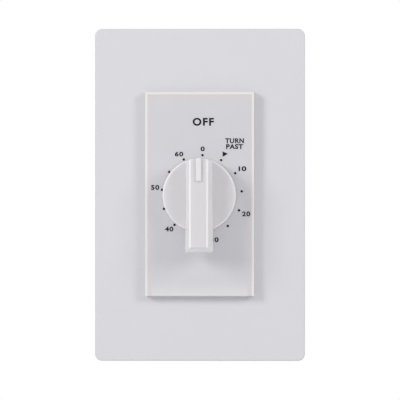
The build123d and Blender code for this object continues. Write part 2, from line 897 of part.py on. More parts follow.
# Timer case: a deep moulded box with rivet bosses, terminal slots and the stop pin
case_half_width = case_width / 2
terminal_outer_x = -(case_half_width + terminal_slot_gap + terminal_thickness / 2)
terminal_back = case_floor_front + terminal_floor_gap
terminal_front = terminal_back + terminal_width
terminal_middle = (terminal_back + terminal_front) / 2
line_screw_z = line_bridge_z + terminal_screw_offset
load_screw_z = -(load_bridge_z + terminal_screw_offset)
stop_place = polar(stop_radius, full_turn / 4 + stop_half_angle)
slot_places = [
    (-(case_half_width - case_wall / 2), line_bridge_z),
    (-(case_half_width - case_wall / 2), -load_bridge_z),
]

with BuildPart() as timer_case:
    raise_block(-case_back, lid_back, case_width, case_height, corner=case_corner)
    raise_block(
        case_floor_front,
        lid_back,
        case_width - 2 * case_wall,
        case_height - 2 * case_wall,
        corner=case_inner_corner,
        mode=Mode.SUBTRACT,
    )
    raise_round(case_floor_front, lid_back, rivet_boss_radius, rivet_places)
    raise_round(-case_back, lid_back, rivet_radius + screw_gap, rivet_places, Mode.SUBTRACT)
    raise_round(
        -case_back,
        rivet_recess - case_back,
        rivet_head_radius + screw_gap,
        rivet_places,
        Mode.SUBTRACT,
    )
    raise_block(
        terminal_back - terminal_slot_gap,
        terminal_front + terminal_slot_gap,
        case_wall + 2 * overrun,
        terminal_thickness + 2 * terminal_slot_gap,
        slot_places,
        mode=Mode.SUBTRACT,
    )
    ledge_x = (case_width - ledge_depth) / 2 - case_wall
    ledge_z = (case_height - ledge_depth) / 2 - case_wall
    raise_block(
        case_floor_front, insulator_back, ledge_depth, ledge_length, [(-ledge_x, 0), (ledge_x, 0)]
    )
    raise_block(
        case_floor_front, insulator_back, ledge_length, ledge_depth, [(0, -ledge_z), (0, ledge_z)]
    )
    stop_pin_front = stop_arm_front - stop_pin_gap
    raise_round(case_floor_front, stop_pin_front, stop_pin_radius, (stop_place,))
    with BuildSketch(Plane.YZ.offset(-case_half_width)) as screw_holes:
        with Locations((-terminal_middle, line_screw_z), (-terminal_middle, load_screw_z)):
            Circle(terminal_screw_radius + screw_gap)
    extrude(to_extrude=screw_holes.sketch, amount=case_wall, mode=Mode.SUBTRACT)
save(timer_case, "timer_case")

# Case rivets: from a recess in the case's back, through its bosses, to the strap's front
rivet_back = rivet_recess - case_back
with BuildPart() as case_rivets:
    raise_round(rivet_back, strap_front, rivet_radius, rivet_places)
    raise_round(
        rivet_back - rivet_head_height, rivet_back, rivet_head_radius, rivet_places
    )
    raise_round(
        strap_front, strap_front + rivet_head_height, rivet_head_radius, rivet_places
    )
    rivet_rims = case_rivets.edges().filter_by(GeomType.CIRCLE).group_by(Axis.Y)
    fillet([*rivet_rims[0], *rivet_rims[-1]], radius=rivet_head_height / 2)
save(case_rivets, "case_rivets")

# Movement plates
pillar_places = [(x, z) for x in (-pillar_x, pillar_x) for z in (-pillar_z, pillar_z)]
arbor_places = [second_place, third_place, escape_place, pallet_place]
plate_windows = [(-plate_window_x, -plate_window_z), (plate_window_x, -plate_window_z)]
spring_start = collar_radius + spring_gap + spring_strip / 2
spring_end = spring_start + spring_half_turns * spring_step
hook_radius = spring_post_radius + spring_post_gap + spring_strip / 2
spring_side = 1 if spring_half_turns % 2 == 0 else -1
spring_post_place = (spring_side * (spring_end + hook_radius), 0)

with BuildPart() as front_plate:
    raise_block(
        front_plate_back, flange_back, movement_width, movement_height, corner=movement_corner
    )
    raise_round(
        front_plate_back,
        flange_back,
        bushing_spigot_radius + shaft_seat_clearance,
        mode=Mode.SUBTRACT,
    )
    raise_round(
        front_plate_back,
        flange_back,
        pillar_tenon_radius + shaft_seat_clearance,
        pillar_places,
        Mode.SUBTRACT,
    )
    raise_round(
        front_plate_back, flange_back, pivot_radius + pivot_clearance, arbor_places, Mode.SUBTRACT
    )
    raise_round(
        front_plate_back,
        flange_back,
        movement_screw_radius + shaft_seat_clearance,
        movement_screw_places,
        Mode.SUBTRACT,
    )
    raise_round(front_plate_back, flange_back, plate_window_radius, plate_windows, Mode.SUBTRACT)
save(front_plate, "front_plate")

with BuildPart() as back_plate:
    raise_block(
        back_plate_back,
        back_plate_front,
        movement_width,
        movement_height,
        corner=movement_corner,
    )
    raise_round(
        back_plate_back, back_plate_front, shaft_radius + shaft_clearance, mode=Mode.SUBTRACT
    )
    raise_round(
        back_plate_back,
        back_plate_front,
        pillar_tenon_radius + shaft_seat_clearance,
        pillar_places,
        Mode.SUBTRACT,
    )
    raise_round(
        back_plate_back,
        back_plate_front,
        pivot_radius + pivot_clearance,
        arbor_places,
        Mode.SUBTRACT,
    )
    raise_round(
        back_plate_back,
        back_plate_front,
        spring_post_tenon_radius + shaft_seat_clearance,
        (spring_post_place,),
        Mode.SUBTRACT,
    )
    raise_round(
        back_plate_back, back_plate_front, plate_window_radius, plate_windows, Mode.SUBTRACT
    )
save(back_plate, "back_plate")

# Pillars: four shouldered posts riveted over at both ends
with BuildPart() as pillars:
    raise_round(back_plate_front, front_plate_back, pillar_radius, pillar_places)
    raise_round(back_plate_back, flange_back, pillar_tenon_radius, pillar_places)
    raise_round(
        flange_back, flange_back + pillar_head_height, pillar_head_radius, pillar_places
    )
    raise_round(
        back_plate_back - pillar_head_height, back_plate_back, pillar_head_radius, pillar_places
    )
save(pillars, "pillars")

# Movement screws and their spacers hold the clockwork's front plate to the strap
with BuildPart() as movement_screws:
    raise_round(front_plate_back, strap_front, movement_screw_radius, movement_screw_places)
    screw_head_front = strap_front + movement_screw_head_height
    raise_round(
        strap_front, screw_head_front, movement_screw_head_radius, movement_screw_places
    )
    raise_block(
        screw_head_front - slot_depth,
        screw_head_front,
        2 * movement_screw_head_radius,
        slot_width,
        movement_screw_places,
        mode=Mode.SUBTRACT,
    )
save(movement_screws, "movement_screws")

with BuildPart() as movement_spacers:
    raise_round(flange_back, lid_back, spacer_radius, movement_screw_places)
    raise_round(
        flange_back,
        lid_back,
        movement_screw_radius + screw_gap,
        movement_screw_places,
        Mode.SUBTRACT,
    )
save(movement_spacers, "movement_spacers")

# Winding shaft: a D at the front for the knob, round where it runs in the plates
with BuildPart() as winding_shaft:
    raise_round(shaft_back, shaft_reach, shaft_radius)
    shaft_noses = winding_shaft.edges().filter_by(GeomType.CIRCLE)
    chamfer(shaft_noses, length=shaft_nose)
    flat_height = shaft_radius
    raise_block(
        bushing_front,
        shaft_reach,
        2 * shaft_radius,
        flat_height,
        ((0, shaft_radius - shaft_flat + flat_height / 2),),
        mode=Mode.SUBTRACT,
    )
    raise_round(ring_back, ring_front, shaft_radius + overrun, mode=Mode.SUBTRACT)
    raise_round(ring_back, ring_front, shaft_radius - retainer_groove_depth)
save(winding_shaft, "winding_shaft")

# Ratchet wheel: saw teeth, pressed on the shaft
with BuildPart() as ratchet_wheel:
    with BuildSketch(level(ratchet_back)) as saw_teeth:
        saw_points = []
        for index in range(ratchet_teeth):
            angle = index * full_turn / ratchet_teeth
            saw_points.append(polar(ratchet_radius - ratchet_tooth_depth, angle))
            saw_points.append(polar(ratchet_radius, angle))
        with BuildLine():
            Polyline(*saw_points, close=True)
        make_face()
        Circle(shaft_radius + shaft_seat_clearance, mode=Mode.SUBTRACT)
    extrude(amount=ratchet_thickness)
save(ratchet_wheel, "ratchet_wheel")

# Great wheel: rides on the shaft and is driven through the click
click_centre = polar(click_place, 0)
click_spring_start = polar(click_spring_place, click_spring_angle)
with BuildPart() as great_wheel:
    raise_gear(great_back, great_front, great_teeth, (0, 0), wheel_phase)
    raise_round(great_back, great_front, shaft_radius + shaft_clearance, mode=Mode.SUBTRACT)
    raise_round(
        great_back,
        great_front,
        click_pin_radius + shaft_seat_clearance,
        (click_centre,),
        Mode.SUBTRACT,
    )
    raise_round(
        great_back,
        great_front,
        click_spring_peg_radius + shaft_seat_clearance,
        (click_spring_start,),
        Mode.SUBTRACT,
    )
    window_place = great_pitch_radius * wheel_window_place_share
    great_windows = [polar(window_place, angle) for angle in great_window_angles]
    raise_round(
        great_back,
        great_front,
        great_pitch_radius * wheel_window_share,
        great_windows,
        Mode.SUBTRACT,
    )
save(great_wheel, "great_wheel")

# Click: the pawl that holds the ratchet, with its pin and its wire spring
click_tip_angle = click_tooth * full_turn / ratchet_teeth - click_tip_lag
click_tip = polar(ratchet_radius - ratchet_tooth_depth + click_tip_gap, click_tip_angle)
click_heel = polar(click_tip_width, click_tip_angle, click_tip)
click_lie = degrees(atan2(click_tip[1] - click_centre[1], click_tip[0] - click_centre[0]))
click_inner = polar(click_hub_radius, click_lie + full_turn / 4, click_centre)
click_outer = polar(click_hub_radius, click_lie - full_turn / 4, click_centre)
with BuildPart() as click_pawl:
    with BuildSketch(level(ratchet_back)) as pawl_outline:
        with Locations(click_centre):
            Circle(click_hub_radius)
        with BuildLine():
            Polyline(click_inner, click_tip, click_heel, click_outer, close=True)
        make_face()
        with Locations(click_centre):
            Circle(click_pin_radius + shaft_clearance, mode=Mode.SUBTRACT)
    extrude(amount=ratchet_thickness)
save(click_pawl, "click_pawl")

with BuildPart() as click_pin:
    raise_round(great_back, ratchet_front, click_pin_radius, (click_centre,))
    raise_round(
        ratchet_front,
        ratchet_front + click_pin_head_height,
        click_pin_head_radius,
        (click_centre,),
    )
save(click_pin, "click_pin")

edge_angle = atan2(click_outer[1] - click_heel[1], click_outer[0] - click_heel[0])
touch_gap = click_spring_gap + click_spring_wire / 2
click_spring_end = polar(
    touch_gap,
    degrees(edge_angle) + full_turn / 4,
    (
        click_heel[0] + (click_outer[0] - click_heel[0]) * click_spring_touch_share,
        click_heel[1] + (click_outer[1] - click_heel[1]) * click_spring_touch_share,
    ),
)
with BuildPart() as click_spring:
    with BuildSketch(level(ratchet_back)) as spring_wire:
        with BuildLine():
            Line(click_spring_start, click_spring_end)
        trace(line_width=click_spring_wire)
        with Locations(click_spring_start):
            Circle(click_spring_peg_radius)
    extrude(amount=click_spring_wire)
    raise_round(great_back, ratchet_back, click_spring_peg_radius, (click_spring_start,))
save(click_spring, "click_spring")

# Arbors of the train, each with its pinion
second_pinion_phase = meshing_phase(great_teeth, wheel_phase, pinion_teeth, second_direction)
third_pinion_phase = meshing_phase(second_teeth, wheel_phase, pinion_teeth, third_direction)
escape_pinion_phase = meshing_phase(third_teeth, wheel_phase, pinion_teeth, escape_direction)

train = [
    ("second", second_place, great_back, great_front, second_pinion_phase),
    ("third", third_place, second_back, second_front, third_pinion_phase),
    ("escape", escape_place, third_back, third_front, escape_pinion_phase),
]
seats = {
    "second": (second_back, second_front),
    "third": (third_back, third_front),
    "escape": (escape_back, escape_front),
}
for stage, place, leaf_back, leaf_front, phase in train:
    seat_back, seat_front = seats[stage]
    with BuildPart() as stage_arbor:
        raise_arbor(place, leaf_back - pinion_margin, leaf_front + pinion_margin, phase)
        raise_round(seat_back, seat_front, wheel_seat_radius, (place,))
    save(stage_arbor, f"{stage}_arbor")

wheels = [("second", second_place, second_teeth), ("third", third_place, third_teeth)]
for stage, place, teeth in wheels:
    seat_back, seat_front = seats[stage]
    with BuildPart() as train_wheel:
        raise_gear(seat_back, seat_front, teeth, place, wheel_phase)
        raise_round(
            seat_back,
            seat_front,
            wheel_seat_radius + wheel_seat_clearance,
            (place,),
            Mode.SUBTRACT,
        )
        window_radius = gear_module * teeth / 2 * wheel_window_share
        window_place = gear_module * teeth / 2 * wheel_window_place_share
        window_places = [
            polar(window_place, index * full_turn / wheel_window_count, place)
            for index in range(wheel_window_count)
        ]
        raise_round(seat_back, seat_front, window_radius, window_places, Mode.SUBTRACT)
    save(train_wheel, f"{stage}_wheel")

# Escape wheel: pointed teeth that lean forwards
with BuildPart() as escape_wheel:
    with BuildSketch(level(escape_back)) as escape_outline:
        tooth_step = full_turn / escape_teeth
        escape_points = []
        for index in range(escape_teeth):
            angle = index * tooth_step
            escape_points.append(polar(escape_radius - escape_tooth_depth, angle, escape_place))
            escape_points.append(
                polar(escape_radius, angle + tooth_step * escape_tooth_lean_share, escape_place)
            )
        with BuildLine():
            Polyline(*escape_points, close=True)
        make_face()
        with Locations(escape_place):
            Circle(wheel_seat_radius + wheel_seat_clearance, mode=Mode.SUBTRACT)
    extrude(amount=escape_thickness)
save(escape_wheel, "escape_wheel")

# Pallet arbor, pin pallets and the balance that sets their pace
pallet_pin_reach = escape_radius + pallet_pin_gap + pallet_pin_radius
pallet_pins = [
    polar(pallet_pin_reach, pallet_direction + side * pallet_pin_angle, escape_place)
    for side in (-1, 1)
]
balance_back = third_back
balance_front = balance_back + balance_thickness

with BuildPart() as pallet_arbor:
    raise_arbor(pallet_place, 0, 0, 0)
save(pallet_arbor, "pallet_arbor")

with BuildPart() as pallet_lever:
    with BuildSketch(level(pallet_back)) as lever_outline:
        with Locations(pallet_place):
            Circle(pallet_hub_radius)
        for pin in pallet_pins:
            with BuildLine() as arm_line:
                Line(pallet_place, pin)
            trace(line_width=pallet_arm_width)
        with Locations(*pallet_pins):
            Circle(pallet_arm_width / 2)
        with Locations(pallet_place):
            Circle(arbor_radius + wheel_seat_clearance, mode=Mode.SUBTRACT)
    extrude(amount=pallet_thickness)
    raise_round(pallet_front, escape_front + pallet_layer_gap, pallet_pin_radius, pallet_pins)
save(pallet_lever, "pallet_lever")

with BuildPart() as balance_wheel:
    raise_round(balance_back, balance_front, balance_radius, (pallet_place,))
    raise_round(
        balance_back, balance_front, balance_radius - balance_rim, (pallet_place,), Mode.SUBTRACT
    )
    raise_block(
        balance_back,
        balance_front,
        balance_spoke,
        2 * balance_radius - balance_rim,
        (pallet_place,),
    )
    raise_round(balance_back, balance_front, pallet_hub_radius, (pallet_place,))
    raise_round(
        balance_back,
        balance_front,
        arbor_radius + wheel_seat_clearance,
        (pallet_place,),
        Mode.SUBTRACT,
    )
save(balance_wheel, "balance_wheel")

# Mainspring: a flat coil of half circles whose centres alternate, hooked on its post
spring_line_end = (spring_side * spring_end, 0)
with BuildPart() as mainspring:
    with BuildSketch(level(spring_back)) as coil:
        with BuildLine() as coil_line:
            for index in range(spring_half_turns):
                side = 1 if index % 2 == 0 else -1
                near = spring_start + index * spring_step
                far = near + spring_step
                middle_x = side * (near - far) / 2
                start = (side * near, 0)
                end = (-side * far, 0)
                ThreePointArc(start, (middle_x, side * (near + far) / 2), end)
            hook_middle = polar(
                hook_radius,
                (0 if spring_side < 0 else full_turn / 2) - spring_hook_turn / 2,
                spring_post_place,
            )
            hook_end = polar(
                hook_radius,
                (0 if spring_side < 0 else full_turn / 2) - spring_hook_turn,
                spring_post_place,
            )
            ThreePointArc(spring_line_end, hook_middle, hook_end)
        trace(line_width=spring_strip)
    extrude(amount=spring_width)
save(mainspring, "mainspring")

with BuildPart() as spring_post:
    raise_round(spring_back, back_plate_back, spring_post_radius, (spring_post_place,))
    raise_round(back_plate_back, back_plate_front, spring_post_tenon_radius, (spring_post_place,))
save(spring_post, "spring_post")

with BuildPart() as spring_collar:
    raise_round(spring_back, spring_front, collar_radius)
    raise_round(
        spring_back, spring_front, shaft_radius + shaft_seat_clearance, mode=Mode.SUBTRACT
    )
save(spring_collar, "spring_collar")

# Insulator: a fibre sheet between the spring and the live switch parts
insulator_width = case_width - 2 * (case_wall + insulator_margin)
insulator_height = case_height - 2 * (case_wall + insulator_margin)
with BuildPart() as insulator_sheet:
    raise_block(insulator_back, insulator_front, insulator_width, insulator_height)
    raise_round(
        insulator_back,
        insulator_front,
        rivet_boss_radius + insulator_margin,
        rivet_places,
        Mode.SUBTRACT,
    )
    raise_round(insulator_back, insulator_front, insulator_hole_radius, mode=Mode.SUBTRACT)
save(insulator_sheet, "insulator_sheet")

# Switch cam: round with one notch, which faces the blade's nose at OFF
with BuildPart() as switch_cam:
    with BuildSketch(level(cam_back)) as cam_outline:
        notch_middle = full_turn / 2
        notch_floor = cam_notch_angle * cam_notch_floor_share
        notch_mouth = (cam_radius + overrun) / cos(radians(cam_notch_angle))
        Circle(cam_radius)
        with BuildLine():
            Polyline(
                polar(notch_mouth, notch_middle - cam_notch_angle),
                polar(cam_radius - cam_notch_depth, notch_middle - notch_floor),
                polar(cam_radius - cam_notch_depth, notch_middle + notch_floor),
                polar(notch_mouth, notch_middle + cam_notch_angle),
                close=True,
            )
        make_face(mode=Mode.SUBTRACT)
        Circle(shaft_radius + shaft_seat_clearance, mode=Mode.SUBTRACT)
    extrude(amount=cam_thickness)
save(switch_cam, "switch_cam")

# Stop arm: turns with the shaft and meets the case's stop pin at OFF and at sixty
with BuildPart() as stop_arm:
    with BuildSketch(level(stop_arm_back)) as arm_outline:
        Circle(stop_arm_hub_radius)
        with Locations((0, (stop_radius + stop_arm_reach) / 2)):
            Rectangle(stop_arm_width, stop_radius + stop_arm_reach)
        Circle(shaft_radius + shaft_seat_clearance, mode=Mode.SUBTRACT)
    extrude(amount=stop_arm_thickness)
save(stop_arm, "stop_arm")

# Shaft ring: the open retaining ring behind the stop arm
with BuildPart() as shaft_ring:
    with BuildSketch(level(ring_back)) as ring_outline:
        Circle(retainer_ring_radius)
        Circle(shaft_radius - retainer_groove_depth + shaft_seat_clearance, mode=Mode.SUBTRACT)
        with BuildLine():
            Polyline(
                (0, 0),
                polar(2 * retainer_ring_radius, -full_turn / 4 - retainer_ring_gap_angle / 2),
                polar(2 * retainer_ring_radius, -full_turn / 4 + retainer_ring_gap_angle / 2),
                close=True,
            )
        make_face(mode=Mode.SUBTRACT)
    extrude(amount=retainer_ring_thickness)
save(shaft_ring, "shaft_ring")

# Contact blade: a leaf whose nose follows the cam, with a contact button near its top
blade_x = -(cam_radius + blade_gap)
blade_nose_x = -(cam_radius - cam_notch_depth + blade_nose_gap + blade_thickness / 2)
blade_outer_x = blade_x - blade_thickness / 2
blade_back = cam_back
blade_front = blade_back + blade_width
blade_middle = (blade_back + blade_front) / 2
nose_flat = blade_nose_half_height * blade_nose_share
load_leg_x = blade_outer_x - terminal_thickness / 2

with BuildPart() as contact_blade:
    with BuildSketch(level(blade_back)) as blade_outline:
        with BuildLine():
            Polyline(
                (blade_x, -blade_bottom),
                (blade_x, -blade_nose_half_height),
                (blade_nose_x, -nose_flat),
                (blade_nose_x, nose_flat),
                (blade_x, blade_nose_half_height),
                (blade_x, blade_top),
            )
        trace(line_width=blade_thickness)
    extrude(amount=blade_width)
    with BuildSketch(Plane.YZ.offset(blade_outer_x)) as button:
        with Locations((-blade_middle, contact_z)):
            Circle(contact_radius)
    extrude(to_extrude=button.sketch, amount=-contact_height)
    with BuildSketch(Plane.YZ.offset(blade_outer_x)) as blade_hole:
        with Locations((-blade_middle, -blade_rivet_z)):
            Circle(blade_rivet_radius + shaft_seat_clearance)
    extrude(to_extrude=blade_hole.sketch, amount=blade_thickness, mode=Mode.SUBTRACT)
save(contact_blade, "contact_blade")

# Line terminal: a bent brass strip with the fixed contact, out through the case's wall
line_leg_x = blade_outer_x - 2 * contact_height - contact_gap - terminal_thickness / 2
with BuildPart() as line_terminal:
    with BuildSketch(level(terminal_back)) as line_outline:
        with BuildLine():
            FilletPolyline(
                (line_leg_x, line_leg_bottom),
                (line_leg_x, line_bridge_z),
                (terminal_outer_x, line_bridge_z),
                (terminal_outer_x, line_bridge_z + terminal_leg),
                radius=terminal_bend,
            )
        trace(line_width=terminal_thickness)
    extrude(amount=terminal_width)
    with BuildSketch(Plane.YZ.offset(line_leg_x + terminal_thickness / 2)) as button:
        with Locations((-blade_middle, contact_z)):
            Circle(contact_radius)
    extrude(to_extrude=button.sketch, amount=contact_height)
    with BuildSketch(Plane.YZ.offset(terminal_outer_x - terminal_thickness / 2)) as tapped:
        with Locations((-terminal_middle, line_screw_z)):
            Circle(terminal_screw_radius + shaft_seat_clearance)
    extrude(to_extrude=tapped.sketch, amount=terminal_thickness, mode=Mode.SUBTRACT)
save(line_terminal, "line_terminal")

# Load terminal: carries the blade's foot
with BuildPart() as load_terminal:
    with BuildSketch(level(terminal_back)) as load_outline:
        with BuildLine():
            FilletPolyline(
                (load_leg_x, -blade_bottom),
                (load_leg_x, -load_bridge_z),
                (terminal_outer_x, -load_bridge_z),
                (terminal_outer_x, -load_bridge_z - terminal_leg),
                radius=terminal_bend,
            )
        trace(line_width=terminal_thickness)
    extrude(amount=terminal_width)
    with BuildSketch(Plane.YZ.offset(load_leg_x - terminal_thickness / 2)) as rivet_hole:
        with Locations((-blade_middle, -blade_rivet_z)):
            Circle(blade_rivet_radius + shaft_seat_clearance)
    extrude(to_extrude=rivet_hole.sketch, amount=terminal_thickness, mode=Mode.SUBTRACT)
    with BuildSketch(Plane.YZ.offset(terminal_outer_x - terminal_thickness / 2)) as tapped:
        with Locations((-terminal_middle, load_screw_z)):
            Circle(terminal_screw_radius + shaft_seat_clearance)
    extrude(to_extrude=tapped.sketch, amount=terminal_thickness, mode=Mode.SUBTRACT)
save(load_terminal, "load_terminal")

with BuildPart() as blade_rivet:
    blade_inner_x = blade_x + blade_thickness / 2
    rivet_far_x = load_leg_x - terminal_thickness / 2
    with BuildSketch(Plane.YZ.offset(rivet_far_x)) as rivet_shank:
        with Locations((-blade_middle, -blade_rivet_z)):
            Circle(blade_rivet_radius)
    extrude(to_extrude=rivet_shank.sketch, amount=blade_inner_x - rivet_far_x)
    with BuildSketch(Plane.YZ.offset(blade_inner_x)) as rivet_head:
        with Locations((-blade_middle, -blade_rivet_z)):
            Circle(blade_rivet_head_radius)
    extrude(to_extrude=rivet_head.sketch, amount=blade_rivet_head_height)
    with BuildSketch(Plane.YZ.offset(rivet_far_x)) as rivet_tail:
        with Locations((-blade_middle, -blade_rivet_z)):
            Circle(blade_rivet_head_radius)
    extrude(to_extrude=rivet_tail.sketch, amount=-blade_rivet_head_height)
save(blade_rivet, "blade_rivet")

# Terminal screws: binding heads outside the case's left wall
screw_face_x = terminal_outer_x - terminal_thickness / 2
with BuildPart() as terminal_screws:
    terminal_places = [(-terminal_middle, line_screw_z), (-terminal_middle, load_screw_z)]
    with BuildSketch(Plane.YZ.offset(screw_face_x - terminal_head_gap)) as shanks:
        with Locations(*terminal_places):
            Circle(terminal_screw_radius)
    extrude(to_extrude=shanks.sketch, amount=terminal_screw_reach)
    with BuildSketch(Plane.YZ.offset(screw_face_x - terminal_head_gap)) as heads:
        with Locations(*terminal_places):
            Circle(terminal_head_radius)
    extrude(to_extrude=heads.sketch, amount=-terminal_head_height)
    with BuildSketch(
        Plane.YZ.offset(screw_face_x - terminal_head_gap - terminal_head_height)
    ) as drive_slots:
        with Locations(*terminal_places):
            Rectangle(2 * terminal_head_radius, slot_width)
    extrude(to_extrude=drive_slots.sketch, amount=slot_depth, mode=Mode.SUBTRACT)
save(terminal_screws, "terminal_screws")
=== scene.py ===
"""Builds the looks of a spring-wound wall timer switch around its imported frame."""

import json
from math import cos, hypot, pi, radians, sin, tan

import bpy
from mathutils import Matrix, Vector


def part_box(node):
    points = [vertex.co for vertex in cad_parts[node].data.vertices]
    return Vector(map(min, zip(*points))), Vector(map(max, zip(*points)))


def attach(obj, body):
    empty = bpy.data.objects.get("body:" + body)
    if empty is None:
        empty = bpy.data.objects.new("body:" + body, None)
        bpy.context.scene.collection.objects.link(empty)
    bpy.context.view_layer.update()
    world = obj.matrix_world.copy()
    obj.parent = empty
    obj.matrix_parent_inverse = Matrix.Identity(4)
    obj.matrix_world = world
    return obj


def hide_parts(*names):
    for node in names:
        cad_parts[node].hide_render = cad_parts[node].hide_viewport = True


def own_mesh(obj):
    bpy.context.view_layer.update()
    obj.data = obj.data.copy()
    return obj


bl_info = {
    "name": "Wall Timer Switch",
    "version": (1, 0, 0),
    "blender": (4, 5, 0),
    "location": "3D View > Sidebar > Timer Switch",
    "description": "Builds the visible pieces and finishes of a spring-wound wall timer switch",
    "category": "Object",
}

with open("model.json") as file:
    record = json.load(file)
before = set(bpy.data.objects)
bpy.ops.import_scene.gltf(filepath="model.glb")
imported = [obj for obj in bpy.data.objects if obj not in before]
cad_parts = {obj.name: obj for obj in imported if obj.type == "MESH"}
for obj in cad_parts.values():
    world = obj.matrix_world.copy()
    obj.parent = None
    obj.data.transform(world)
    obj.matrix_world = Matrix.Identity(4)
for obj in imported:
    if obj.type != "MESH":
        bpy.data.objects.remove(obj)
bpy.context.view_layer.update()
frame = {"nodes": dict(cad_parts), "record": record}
slots = {part["node"]: part["material_slot"] for part in frame["record"]["subparts"]}
finishes = {}

MM = 0.001
HOUSING = "switch_housing"
SHAFT = "knob_and_shaft"

# Modelling
SPARE = 1 * MM  # how far a cut runs past what it cuts
NEAR = 0.1 * MM  # an edge this near a plane lies on it
ON_CUT = 0.001 * MM  # a point this near a cut lies on it
MERGE = 0.002 * MM  # points this near each other are one
SMOOTH_ANGLE = 32  # degrees, past which an edge stays sharp
FACES_ROOM = -0.9  # a face whose normal's Y is less than this looks at the room

# Camera
PHOTO_WIDTH = 400  # pixels
PHOTO_SCALE = 2.80  # pixels to a millimetre of the wall plate
PLATE_CENTRE = (199.9, 194.9)  # the plate's middle in the photograph
SENSOR = 36.0  # millimetres
CAMERA_DISTANCE = 1.4  # metres
CAMERA_AZIMUTH = 1.3  # degrees
CAMERA_ELEVATION = 0.3

# Stage: a soft lamp on each side, and the floor, in degrees, metres and watts
LAMP_AZIMUTH = 44
LAMP_ELEVATION = 20
LAMP_DISTANCE = 1.3
LAMP_SIZE = 0.5
KEY_POWER = 5.9
FILL_POWER = 4.0
AMBIENT = 0.475  # strength of the world's light on the object
FLOOR_SIZE = 3.0
FLOOR_DROP = 0.25  # from the knob's axis down to the floor

# Finishes. A roughness that crosses 0.27 within one finish shows as patches with crisp edges, so
# each stays on one side of it
PLASTIC_SPREAD = 0.05  # how far roughness strays from its middle
METAL_SPREAD = 0.08
# Painted light: how strongly the knob's sides, end and rib and the dial's foot are painted brighter
FLANK_PAINTED_GLOW = 0.8  # how far each place is painted in the bright colour that stands in for light through a thin edge
END_PAINTED_GLOW = 1.6
RIB_PAINTED_GLOW = 0.35
FOOT_PAINTED_GLOW = 0.45

# Snap ribs
RIB_SIDE_SHARE = 0.3  # from the middle, as a share of the cover's height
RIB_END_SHARE = 0.2  # and of its width
RIB_FRONT = -1.1 * MM  # on the knob's axis, where the wall is 0 and the room is negative

# Printed scale, in the photograph's pixels
SCALE_PER_MM = 2.815  # to a millimetre of the dial
SCALE_CENTRE = (199.6725, 194.8)  # where the knob's axis meets the dial
DOTS_CENTRE = (201.78, 195.23)
DOTS_TURN = 1.1  # degrees
DOTS = 13

# Text, then across, down, width and height in those pixels, weight of the strokes, and spacing
LABELS = (
    ("OFF", 203.3, 121.5, 21.2, 8.0, 0.037, 1.2),
    ("0", 202.7, 148.6, 4.1, 4.8, 0.034, 1.0),
    ("60", 179.0, 153.8, 8.3, 4.9, 0.034, 1.16),
    ("50", 155.0, 187.3, 8.3, 4.9, 0.034, 1.16),
    ("40", 169.1, 229.0, 8.4, 4.9, 0.034, 1.12),
    ("30", 214.4, 239.7, 8.6, 4.9, 0.034, 1.14),
    ("20", 246.3, 213.8, 8.1, 4.9, 0.034, 1.14),
    ("10", 242.6, 168.5, 7.8, 4.9, 0.034, 1.0),
    ("TURN", 234.7, 140.5, 18.7, 5.0, 0.037, 1.14),
    ("PAST", 234.7, 146.3, 17.0, 5.0, 0.037, 1.1),
)
ARROW = ((222.7, 156.5), (224.0, 151.2), (228.0, 153.6))  # corners, clockwise
WORD_EXTRUDE = 0.1  # of letters one unit high, before they are scaled
WORD_MERGE = 0.0001
WORD_STEPS = 6

# Knob; its places on the axis are given as the ribs' are
POINTER_OVERHANG = 0.1 * MM  # past the skirt's rim
POINTER_ROUND = 0.25 * MM
TAIL_OVERLAP = 1.2  # how far up the bar the tail starts, in roundings of the bar
TAIL_PROUD = 0.02 * MM  # how far the tail stands out of the bar there
HUB_BACK = -15.2 * MM
BORE_FRONT = -23.5 * MM
SHAFT_FLAT = 1.5 * MM  # how much the shaft's flat takes off its radius

# Box screws
BOX_SCREW_SPACING = 83.3 * MM
HEAD_RADIUS = 3.4 * MM
HEAD_HEIGHT = 2.0 * MM
NECK_RADIUS = 1.3 * MM
THREAD_RADIUS = 1.75 * MM
THREAD_FOOT = 0.86  # width of the ridge's foot, in pitches
THREAD_BARE = 1.5  # length of shank with no thread, in pitches
THREAD_STEPS = 20  # in one turn
DRIVE_WIDTH = 0.9 * MM
DRIVE_DEPTH = 0.7 * MM

# Contact blade
NOSE_HALF_HEIGHT = 3.35 * MM


def linear(code):
    """A colour written as sRGB hex, turned to linear values."""
    channels = [int(code[place : place + 2], 16) / 255 for place in (1, 3, 5)]
    return [c / 12.92 if c <= 0.04045 else ((c + 0.055) / 1.055) ** 2.4 for c in channels]


def colour_property(name, description, code):
    """A colour that a user may change, its default written as sRGB hex."""
    return bpy.props.FloatVectorProperty(
        name=name, description=description, subtype="COLOR", min=0, max=1, default=linear(code)
    )


def length_property(name, description, millimetres):
    """A length that a user may change, its default written in millimetres."""
    return bpy.props.FloatProperty(
        name=name, description=description, unit="LENGTH", min=0, precision=5,
        default=millimetres * MM,
    )


